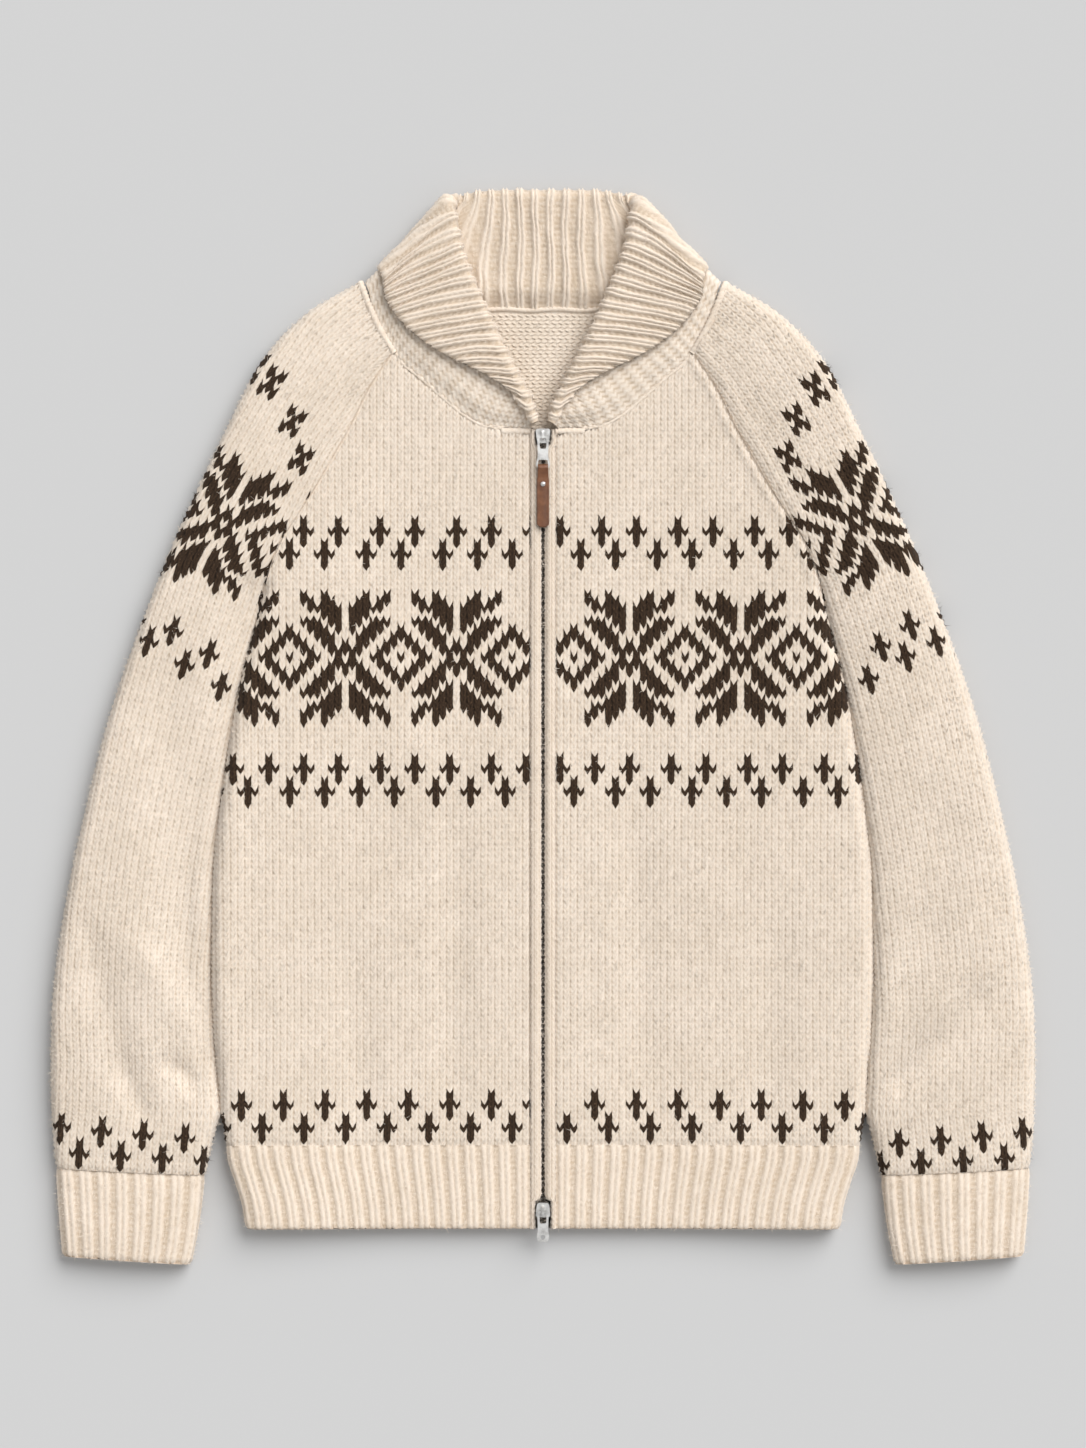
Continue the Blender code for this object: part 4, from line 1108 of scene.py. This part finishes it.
def make_back():
    face = face_of(dense(HEM_TOP_Y + SEAM / 2, BACK_NECK_Y, 6.0), under_path, samples=41)
    rows = RowMap(BACK_NECK_Y + 2, HEM_TOP_Y, STAR_Y)
    chart = body_chart(rows, STAR_REPEAT // 2, FRONT_CROSSES[1])
    outer = knitted("back_knit", face, 1, BACK_COLUMNS, rows, chart, fine=False)
    upper = inner_wall("back_reverse", face, 1)
    neck = purled("back_neck_reverse", NECK_REVERSE_HALF, NECK_REVERSE_LOW_Y, BACK_NECK_Y - 2.0, WALL + 0.4)
    finish_piece(outer, "back", Cut(0.474, 0.602, 0.247), ["floor"], [upper, neck])


def make_hem_back():
    top = HEM_TOP_Y - SEAM / 2
    face = face_of(dense(HEM_Y, top, 5.0), under_path, samples=41)
    make_ribs("hem_back", face, 1, top, HEM_Y, BACK_HEM_RIBS, Cut(0.436, 0.06, 0.0255), ["floor"], plain=True)


# ---------------------------------------------------------------- sleeves and cuffs
SLEEVE_LOW_Y = -323.3
SLEEVE_TOP_Y = 268.3
SEAM_TOP_Y = 268.0  # the raglan and neck seams end here
SLEEVE_ROWS_PAST = 40.0  # rows are counted down from this far past the sleeve's middle line
UPPER_FACE = np.arange(-62.0, 66.0, 1.0)  # distances round a sleeve that lie on its upper face


class SleeveCross(NamedTuple):
    """Where a small cross lies on each sleeve: x is the distance from the zip. A leaning cross has diagonal arms."""

    right_x: float
    right_y: float
    left_x: float
    left_y: float
    leaning: int


SLEEVE_CROSSES = table(
    SleeveCross, (197.1, 244.6, 195.3, 241.9, 1), (180.0, 217.6, 182.3, 219.4, 1), (170.5, 193.3, 176.5, 195.1, 1),
    (214.0, 264.0, 208.0, 256.0, 1), (287.0, 76.5, 286.5, 81.0, 0), (264.6, 67.3, 265.0, 72.7, 0),
    (237.6, 52.0, 240.8, 55.6, 0), (282.6, 57.5, 284.0, 64.1, 0), (256.5, 44.8, 258.7, 48.8, 0),
    (229.5, 28.6, 233.1, 32.2, 0),
)
LEANING_CROSS = [{1}, {0, 1}, {0}]
STAR_PLACE = {-1: (229.3, 145.4), 1: (225.0, 150.0)}
UNDER_CROSSES = [Crosses(-100.0, 2.6, 5.6, 2.6), Crosses(88.0, -1.0, 5.9, 2.4)]  # from the star, along the sleeve
CUFF_CROSSES = Crosses(26.0, 1.9, 6.0, 3.0)  # place is the distance above the cuff


class Lengths:
    """Distances along a sleeve's middle line, so that its rows of stitches lie square to the sleeve."""

    def __init__(self, face):
        self.face, self.keys = face, face.keys
        self.plan = self.line_at(0.0)[:, :2]
        self.gone = gone_along(self.plan)
        self.ahead = np.gradient(self.plan, axis=0)
        self.ahead /= np.linalg.norm(self.ahead, axis=1, keepdims=True)

    def line_at(self, s):
        """Points at one distance round the sleeve, for every key."""
        return self.face.sample(np.full(len(self.keys), s), self.keys)[0]

    def above(self, s):
        """Distance above the cuff at every key, for one distance round the sleeve."""
        off = self.line_at(s)[:, :2] - self.plan
        return np.maximum.accumulate(self.gone + (off * self.ahead).sum(axis=1))

    def key_at(self, s, above):
        """Keys for a grid whose columns each have nearly one s."""
        keys = np.empty(above.shape)
        for column in range(above.shape[1]):
            keys[:, column] = np.interp(above[:, column], self.above(s[:, column].mean()), self.keys)
        return keys

    def nearest(self, x, y):
        """The s and the distance above the cuff of the place on the upper face nearest to a point."""
        best = None
        for s in UPPER_FACE:
            points = self.line_at(s)
            gap = np.hypot(points[:, 0] - x, points[:, 1] - y)
            k = int(gap.argmin())
            if best is None or gap[k] < best[0]:
                best = (gap[k], s, self.above(s)[k])
        return best[1:]


def sleeve_relief(face, s, keys):
    """The raised band beside the raglan seam, and the sunk line above the cuff."""
    low, _ = face.limits(keys)
    along_raglan = np.clip((keys - ARMPIT_Y + 6) / 10, 0.0, 1.0)
    band = seam_ridge(np.abs(s - low), 7.0, 5.5) * along_raglan
    cuff = -1.0 * bell(keys - face.keys[0], 2.0)
    _, facing = face.sample(s, keys)
    return band + cuff + towards_other(facing, keys) * (s < 0)


def make_sleeve(word, side):
    node = "sleeve_" + word
    face = face_of(dense(SLEEVE_LOW_Y, SLEEVE_TOP_Y, 3.5), lambda y: sleeve_path(y, side))
    lengths = Lengths(face)
    star_x, star_y = STAR_PLACE[side]
    star_s, star_above = lengths.nearest(star_x * side, star_y)
    rows = RowMap(lengths.gone[-1] + SLEEVE_ROWS_PAST, 0.0, star_above)
    shown = []
    for cross in SLEEVE_CROSSES:
        x, y = (cross.right_x, cross.right_y) if side < 0 else (cross.left_x, cross.left_y)
        s, above = lengths.nearest(x * side, y)
        shape = LEANING_CROSS if cross.leaning else CROSS
        shown.append((round((s - star_s) / COLUMN), rows.row_at(above), shape))
    under = [band._replace(place=star_above - band.place) for band in UNDER_CROSSES]
    last_shown = max(column for column, _, _ in shown) + 2

    def chart(column, row):
        if in_star_band(column, row - rows.star, 0) or in_crosses(column, row, rows, [CUFF_CROSSES]):
            return 1
        if column > last_shown:
            return int(in_crosses(column, row, rows, under))
        return int(any(in_chart(shape, column - c, row - r) for c, r, shape in shown))

    shift = star_s - COLUMN / 2
    span = int(math.floor((face.low.min() - shift) / COLUMN)), int(math.ceil((face.high.max() - shift) / COLUMN))
    outer = knitted(node + "_knit", face, side, span, rows, chart, lengths.key_at, shift, sleeve_relief)
    keys = np.linspace(ARMPIT_Y + 8.0, SEAM_TOP_Y, 70)
    raglan_line, _ = face.sample(face.limits(keys)[0], keys)
    end_y = SLEEVE_TOP_Y - 0.1
    end_line, _ = face.sample(face.limits(end_y)[0] + np.linspace(-1.0, 58.0, 40), np.full(40, end_y))
    end_line = end_line + np.array([-0.9 * side, 0.4, -0.2]) * 0.8
    seams = [cord_along("raglan_seam_" + word, raglan_line, 1.3), cord_along("sleeve_end_" + word, end_line, 2.5)]
    extra = [inner_wall(node + "_reverse", face, side)] + seams
    finish_piece(outer, node, Cut(0.262, 0.66, 0.135), ["floor"], extra, hairs=19000)


def make_cuff(word, side):
    face = face_of(dense(CUFF_Y, CUFF_TOP_Y, 2.5), lambda y: cuff_path(y, side))
    cut = Cut(0.225, 0.065, 0.0142)
    ends = (CUFF_TOP_Y, CUFF_Y)
    make_ribs("cuff_" + word, face, side, *ends, CUFF_RIBS, cut, ["floor"], hairs=2500, reach=2 * CLOSED)


# ---------------------------------------------------------------- collar
SHOULDER_OUT = np.array([0.74, 0.67])  # level direction away from the neck at the shoulder
STAND_Z = WALL / 2 + LAYER  # middle of the stand behind the neck, above the folded part
STAND_PARTS = (0.0, 0.04, 0.09, 0.16, 0.25, 0.36, 0.48, 0.6, 0.72, 0.84, 0.93, 1.0)
FALL_PARTS = (0.0, 0.06, 0.14, 0.24, 0.36, 0.48, 0.6, 0.72, 0.84, 0.93, 1.0)
FOLD_ANGLES = tuple(range(15, 180, 15))
FOLD_LONG = 8.0  # the fall starts this far past the stand
STAND_RIBS_FROM = 20.5  # from this line on, the stand shows inside the neck and has ribs
FALL_TURN = 2.4  # how many ribs' widths each rib leans back on its way down the fall, so that it runs level


def collar_line(at, side):
    """Middle of the collar's wall from the neck seam, up the stand, over the fold and down to the free edge."""
    row = COLLAR_SHAPE.at(at)
    up, out = math.cos(math.radians(row.turn)), math.sin(math.radians(row.turn))
    over = np.array([SHOULDER_OUT[0] * out * side, SHOULDER_OUT[1] * out, up])
    neck = np.array([row.neck_x * side, row.neck_y, 0.0])
    fold = np.array([row.fold_x * side, row.fold_y, 0.0])
    edge = np.array([row.edge_x * side, row.edge_y, 0.0])
    ahead = (fold - neck) / np.linalg.norm(fold - neck)
    neck += ahead * NECK_GAP
    turn_in = fold - ahead * (FOLD_R + COLLAR_RIB_HIGH / 2)
    rise = min(1.0, RISE_LONG / np.linalg.norm(turn_in - neck))
    stand_z = STAND_Z + CREASE_R * (1 + up)
    front_z = front_top(neck[0], neck[1]) - WALL / 2
    neck_z = WALL / 2 + (front_z - WALL / 2) * (1 + up) / 2
    spare = 2 * FOLD_R - LAYER
    line = []
    for part in STAND_PARTS:
        point = neck + (turn_in - neck) * part
        point[2] = neck_z + (stand_z - neck_z) * ramp(0.0, rise, part)
        line.append(point - over * spare * (1 - up) / 2 * ramp(0.4, 1.0, part))
    low = line[-1]
    for angle in FOLD_ANGLES:
        turn = math.radians(angle)
        line.append(low + over * FOLD_R * (1 - math.cos(turn)) + ahead * FOLD_R * math.sin(turn))
    high = low + over * 2 * FOLD_R
    end = edge + np.array([0.0, 0.0, stand_z]) + over * (LAYER + CREASE_EASE * out)
    return line + [high + (end - high) * part for part in FALL_PARTS]


def make_collar():
    """The shawl collar: ribs over its fall, its fold and inside the neck, and its reverse where the stand shows."""
    count = 2 * COLLAR_RIBS
    keys = np.linspace(0.0, count, 8 * COLLAR_RIBS + 1)
    middle = np.array([collar_line(min(k, count - k), -1 if k <= COLLAR_RIBS else 1) for k in keys])
    facing = np.cross(np.gradient(middle, axis=0), np.gradient(middle, axis=1))
    facing /= np.linalg.norm(facing, axis=2, keepdims=True)
    shown = Face(keys, zip(middle + facing * WALL / 2, facing), np.zeros(len(keys)))
    hidden = Face(keys, zip(middle - facing * WALL / 2, -facing), np.zeros(len(keys)))
    stand = np.linalg.norm(np.diff(middle[:, : len(STAND_PARTS)], axis=1), axis=2).sum(axis=1)

    def place(rib, along):
        at = np.minimum(rib, count - rib)
        in_middle = np.clip(at, 0.0, 1.0)
        _, high = shown.limits(rib)
        fall_from = np.interp(rib, keys, stand) + FOLD_LONG
        fall = np.clip((along - fall_from) / np.maximum(high - fall_from, 5.0), 0.0, 1.0)
        # the ribs wander a little, and more near the front tips
        wander = 0.07 * np.sin(along / 11.0 + rib * 0.9) + 0.02 * np.sin(along / 3.3 + rib * 4.3)
        wander = wander + 0.2 * fall * np.sin(along / 7.0 + rib * 0.6) * np.clip(1.3 - at / 8.0, 0.0, 1.0)
        turned = np.interp(at, (0.0, 1.0, 8.0, 12.0, 26.0), (0.0, 0.3, FALL_TURN, FALL_TURN, 0.0))
        lean = np.where(rib < COLLAR_RIBS, 1.0, -1.0) * turned * fall
        spread = wide_knit(rib) - rib
        at_key = rib + lean + (wander + spread * np.clip(fall * 6.0, 0.0, 1.0)) * in_middle
        at_key = np.clip(at_key, 0.0, float(count))
        # a rib that has leant over keeps its share of the stand and of the fall
        new_from = np.interp(at_key, keys, stand) + FOLD_LONG
        _, new_high = shown.limits(at_key)
        on_fall = new_from + (new_high - new_from) * fall
        on_stand = along + (new_from - fall_from) * np.clip(along / fall_from, 0.0, 1.0)
        points, normals = shown.sample(np.where(along > fall_from, on_fall, on_stand), at_key)
        past_stand = np.clip((along - np.interp(rib, keys, stand) + 4.0) / 6.0, 0.0, 1.0)
        in_view = np.clip((at - STAND_RIBS_FROM) / 2, 0.0, 1.0)
        lumpy = 1.1 + 0.2 * np.sin(along / 9.0 + np.floor(rib) * 2.3)
        scale = np.maximum(past_stand, in_view) * lumpy
        return points, normals, scale * in_middle, np.maximum(high - along, 0.0)

    def place_back(rib, along):
        points, normals = hidden.sample(along, rib)
        return points, normals, 0.9, np.maximum(hidden.limits(rib)[1] - along, 0.0)

    longest = float(shown.high.max())
    outer = ribbed("collar_ribs", place, count, longest, 1, free_end=True)
    reverse = ribbed("collar_reverse", place_back, count, longest, -1, free_end=True, purl=True)
    rests_on = ["back", "front_right", "front_left"]
    finish_piece(outer, "collar", Cut(0.62, 0.17, 0.078), rests_on, [reverse], hairs=12000)


def make_neck_seams():
    """Sewn ridges along the neck seam, from the zip to the shoulder on each side, and behind the neck."""
    level = [(NECK_Y - 0.3, x) for x in np.linspace(10.5, 30.0, 8)]
    round_neck = level + [(y, neckline(y)) for y in np.linspace(NECK_Y + 0.6, SEAM_TOP_Y, 50)]
    for word, side in SIDES:
        line = [(x * side, y + 0.3, front_top(x * side, y) - 0.4) for y, x in round_neck]
        carry(cord_along("neck_seam_" + word, line, 1.5))
        line = [(x * side, NECK_Y - 1.3, front_top(x * side, NECK_Y) - 0.3) for x in np.linspace(9.0, 30.0, 24)]
        carry(cord_along("neck_seam_front_" + word, line, 2.3))
    line = [(x, BACK_NECK_Y + 0.4 + 0.5 * math.sin(x / 6.0), WALL + 0.8) for x in np.linspace(-90, 90, 91)]
    carry(cord_along("back_neck_seam", line, 1.7))


# ---------------------------------------------------------------- zip
BAND_FOOT = 9.8  # height at which a band starts to round over
BAND_LOW = 7.5  # height of its underside beside the chain
BAND_SLOPE = 3.0  # the notch for a slider starts this far from it
BAND_CLEAR = 0.6  # and is all there this far from it
BAND_COLUMNS = 4


def band_inner_x(y):
    """The bands part round each slider."""
    top, bottom = TOP_SLIDER_Y - SLIDER_LONG / 2, BOTTOM_SLIDER_Y + SLIDER_LONG / 2
    at_top = ramp(top - BAND_SLOPE, top - BAND_CLEAR, y)
    at_bottom = 1 - ramp(bottom + BAND_CLEAR, bottom + BAND_SLOPE, y)
    return BAND_IN + (NOTCH - BAND_IN) * max(at_top, at_bottom)


def band_path(y, side):
    """Over a front band from its inner edge, beside the teeth, to its outer edge."""
    inner = band_inner_x(y)
    middle, half = (inner + BAND_OUT) / 2, (BAND_OUT - inner) / 2
    path = [((inner * side, y, CHAIN_TOP + SEAM), (-side, 0.0, 0.0))]
    for k in range(25):
        angle = math.radians(180 - 180 * k / 24)
        across, up = math.cos(angle), math.sin(angle)
        x = middle + half * math.copysign(abs(across) ** 0.75, across)
        z = BAND_FOOT + (BAND_TOP - BAND_FOOT) * up**0.62
        path.append(((x * side, y, z), (across * side, 0.0, up)))
    path.append(((BAND_OUT * side, y, BAND_LOW), (side, 0.0, 0.0)))
    return path, 0.0


def make_band(word, side):
    node = "band_" + word
    face = face_of(dense(HEM_Y, NECK_Y, 2.0), lambda y: band_path(y, side), samples=60)
    last = BAND_COLUMNS * QUARTERS
    u, v = np.meshgrid(np.arange(last + 1), np.arange(int((NECK_Y - HEM_Y) / ROW) * HALVES + 4))
    between, middle = u % QUARTERS == 0, u % QUARTERS == 2
    dip = SLANT * np.where(middle, 1.0, np.where(between, 0.0, 0.5))
    keys = np.clip(NECK_Y - (v / HALVES + dip - SLANT) * ROW, HEM_Y, NECK_Y)
    points, facing = face.sample(u / last * face.limits(keys)[1], keys)
    crest = v % HALVES == 1
    relief = np.where(between, -0.6, np.where(middle, np.where(crest, 0.0, -0.5), crest * 0.7))
    relief = relief + np.random.default_rng(len(word)).normal(0.0, UNEVEN, relief.shape)
    # painted shade: the yarn is darker between the stitches, and darkest along the band's outer edge, in the crease
    # beside the front
    shade_and_tone = np.clip((relief + 0.8) / 1.6, 0.0, 1.0) * np.where(u == last, 0.2, 1.0)
    outer = grid_mesh(node + "_knit", points + facing * relief[..., None], side, [CREAM], shade_and_tone=shade_and_tone)
    low = [
        [(x * side, y, BAND_LOW if x > 3.3 else CHAIN_TOP + SEAM) for x in (band_inner_x(y), 3.4, 3.5, BAND_OUT)]
        for y in np.linspace(HEM_Y, NECK_Y, 60)
    ]
    under = grid_mesh(node + "_under", low, side, [INSIDE])
    cut = Cut(0.019, 0.575, 0.0105)
    finish_piece(outer, node, cut, ["zip_tape_" + word], [under], hairs=3000)


TOOTH_PITCH = 2.6
TOOTH_LONG = TOOTH_PITCH * 0.42
# sections of a tooth from its tip to its root: distance from the zip's middle, half length as a part, height
TOOTH_SECTIONS = ((-0.55, 0.34, 8.6), (0.5, 0.5, 9.15), (2.3, 0.5, 9.15), (2.85, 0.4, 8.5))
TOOTH_OUTLINE = ((-1, -2.4), (-1, -0.35), (-0.6, 0.0), (0.6, 0.0), (1, -0.35), (1, -2.4))
TOOTH_CAP = np.array([[0, 1, 4, 5], [1, 2, 3, 4]])  # closes a section


def make_teeth():
    """Two rows of interlocking metal teeth."""
    points, faces = [], []
    low_y, high_y = HEM_Y + 2, TOP_SLIDER_Y - SLIDER_LONG / 2 + 1
    across, round_it = len(TOOTH_SECTIONS), len(TOOTH_OUTLINE)
    for k in range(int((high_y - low_y) / TOOTH_PITCH)):
        for side in (-1, 1):
            y = low_y + (k + (0.5 if side > 0 else 0.0)) * TOOTH_PITCH + 0.7
            start = len(points)
            for x, half, z in TOOTH_SECTIONS:
                for dy, dz in TOOTH_OUTLINE:
                    points.append((x * side, y + dy * half * TOOTH_LONG, z + dz))
            faces.append(facing_up(quads(across, round_it, start), -side))
            faces.append(facing_up(start + TOOTH_CAP, side))
            faces.append(facing_up(start + (across - 1) * round_it + TOOTH_CAP, -side))
    thing = new_mesh("zip_teeth_rows", points, np.concatenate(faces), [TEETH], smooth=False)
    carry(thing, ["zip_chain"])


TAPE_OUTLINE = [(3.2, 6.2), (3.2, 7.0), (3.6, 7.3), (4.3, 7.3), (4.8, 7.1), (9.0, 7.1), (14.9, 7.1), (15.0, 6.3)]


def make_tape(word, side):
    """A woven tape with a corded inner edge."""
    points = [[(x * side, y, z) for x, z in TAPE_OUTLINE] for y in np.linspace(HEM_Y + 2, NECK_Y, 150)]
    thing = grid_mesh("zip_tape_" + word + "_woven", points, side, [TAPE])
    carry(thing, ["zip_tape_" + word])


# ---------------------------------------------------------------- leather tab and metal
PIVOT_Y = TOP_SLIDER_Y - 1.0
PULL_LONG = 23.0
BAR_Y = PIVOT_Y - PULL_LONG + 0.75  # middle of the pull's lower bar
PULL_Z = 16.3  # middle of the metal pulls' thickness
TAB_LONG = 42.0
TAB_HALF = 3.7  # half width at the bar
TAB_FLARE = 0.65  # how much wider the rest is
TAB_CORNER = 2.6  # radius of the lower corners
SKIN = 1.45  # thickness of the leather
LINE_AT = 0.78  # place of the pressed line, as a part of the half width


def make_tab():
    """A leather strap folded round the bar of the pull, with rounded corners, rubbed edges and a pressed line."""
    low = BAND_TOP + 0.35 - PULL_Z
    high = low + 2 * SKIN
    middle = (low + high) / 2
    radius = 1.35 + SKIN
    loop = [(radius * math.sin(a), radius * math.cos(a)) for a in np.linspace(0.0, math.pi, 15)]
    along_low = [(y, low) for y in np.linspace(-6.0, -TAB_LONG, 60)]
    end = [(-TAB_LONG - 0.45 * math.sin(a), low + SKIN - SKIN * math.cos(a)) for a in np.linspace(0.3, 2.84, 7)]
    along_high = [(y, high) for y in np.linspace(-TAB_LONG, -6.5, 60)]
    stations = np.array([-1.0, -0.97, -0.9, -LINE_AT, -0.5, 0.0, 0.5, LINE_AT, 0.9, 0.97, 1.0])
    inset = np.array([0.45, 0.2, 0.06, 0.0, 0.0, 0.0, 0.0, 0.0, 0.06, 0.2, 0.45])
    rows = []
    for y, z in loop + along_low + end + along_high + [loop[0]]:
        half = TAB_HALF + TAB_FLARE * ramp(4.0, 9.0, -y)
        corner = max(0.0, -y - (TAB_LONG - TAB_CORNER))
        half -= TAB_CORNER - math.sqrt(max(TAB_CORNER**2 - min(corner, TAB_CORNER - 0.05) ** 2, 0.0))
        on_line = z > middle and -TAB_LONG < y < -8
        row = []
        for x, step in zip(stations, inset):
            pressed = -0.22 if on_line and abs(x) == LINE_AT else 0.0
            row.append((x * half, y + BAR_Y, z + (middle - z) * step * 0.55 + pressed + PULL_Z))
        rows.append(row)
    thing = grid_mesh("leather_tab_strap", rows, -1, [LEATHER])
    carry(thing, ["leather_tab"], "leather_tab")


def dress_metal():
    for name in ("top_slider", "bottom_slider", "top_pull", "bottom_pull", "tab_rivet"):
        for slot in bpy.data.objects[name].material_slots:
            slot.material = NICKEL


# ---------------------------------------------------------------- floor, light and camera
PHOTO_WIDE, PHOTO_HIGH = 1086, 1448
GARMENT_MIDDLE_ROW = 726  # the photo's row of pixels that shows the garment's middle
MM_PER_PIXEL = 0.72
SENSOR = 36.0
CAMERA_UP = 2.6
CAMERA_Y = (GARMENT_MIDDLE_ROW - PHOTO_HIGH // 2) * MM_PER_PIXEL * MM
GARMENT_MID = 0.011  # height of the faces that the scale is true for
LENS = SENSOR * (CAMERA_UP - GARMENT_MID) / (PHOTO_WIDE * MM_PER_PIXEL * MM)
SUN_AT = (1.25, 1.6, 1.75)
SUN_ENERGY = 3.2
SUN_WIDE = 48  # degrees: a large soft light
SKY_STRENGTH = 0.58


def make_stage():
    """A plain pale floor, a large soft light from the photo's upper right, and the camera straight above."""
    bpy.ops.mesh.primitive_plane_add(size=12, location=(0, 0, -0.0006))
    floor = bpy.context.object
    floor.name = "floor"
    paper = Mat("floor_paper")
    paper.set(Base_Color=(0.53, 0.53, 0.53, 1), Roughness=0.95, Specular_IOR_Level=0.1)
    floor.data.materials.append(paper.material)
    scene = bpy.context.scene
    scene.world = bpy.data.worlds.new("studio")
    scene.world.use_nodes = True
    background = scene.world.node_tree.nodes["Background"].inputs
    background["Color"].default_value = (1, 1, 1, 1)
    background["Strength"].default_value = SKY_STRENGTH
    lamp = bpy.data.lights.new("window_light", "SUN")
    lamp.energy = SUN_ENERGY
    lamp.angle = math.radians(SUN_WIDE)
    holder = add_object("window_light", lamp, SUN_AT)
    holder.rotation_euler = (-holder.location.normalized()).to_track_quat("-Z", "Y").to_euler()
    camera = bpy.data.cameras.new("camera")
    camera.lens = LENS
    camera.sensor_fit = "HORIZONTAL"
    camera.sensor_width = SENSOR
    camera.clip_end = 20
    scene.camera = add_object("camera", camera, (0, CAMERA_Y, CAMERA_UP))
    scene.view_settings.view_transform = "Standard"


# ---------------------------------------------------------------- making
SIDES = (("right", -1), ("left", 1))
make_stage()
for word, side in SIDES:
    make_front(word, side)
    make_hem_front(word, side)
    make_sleeve(word, side)
    make_cuff(word, side)
    make_band(word, side)
    make_tape(word, side)
make_back()
make_hem_back()
make_collar()
make_neck_seams()
make_teeth()
make_tab()
dress_metal()
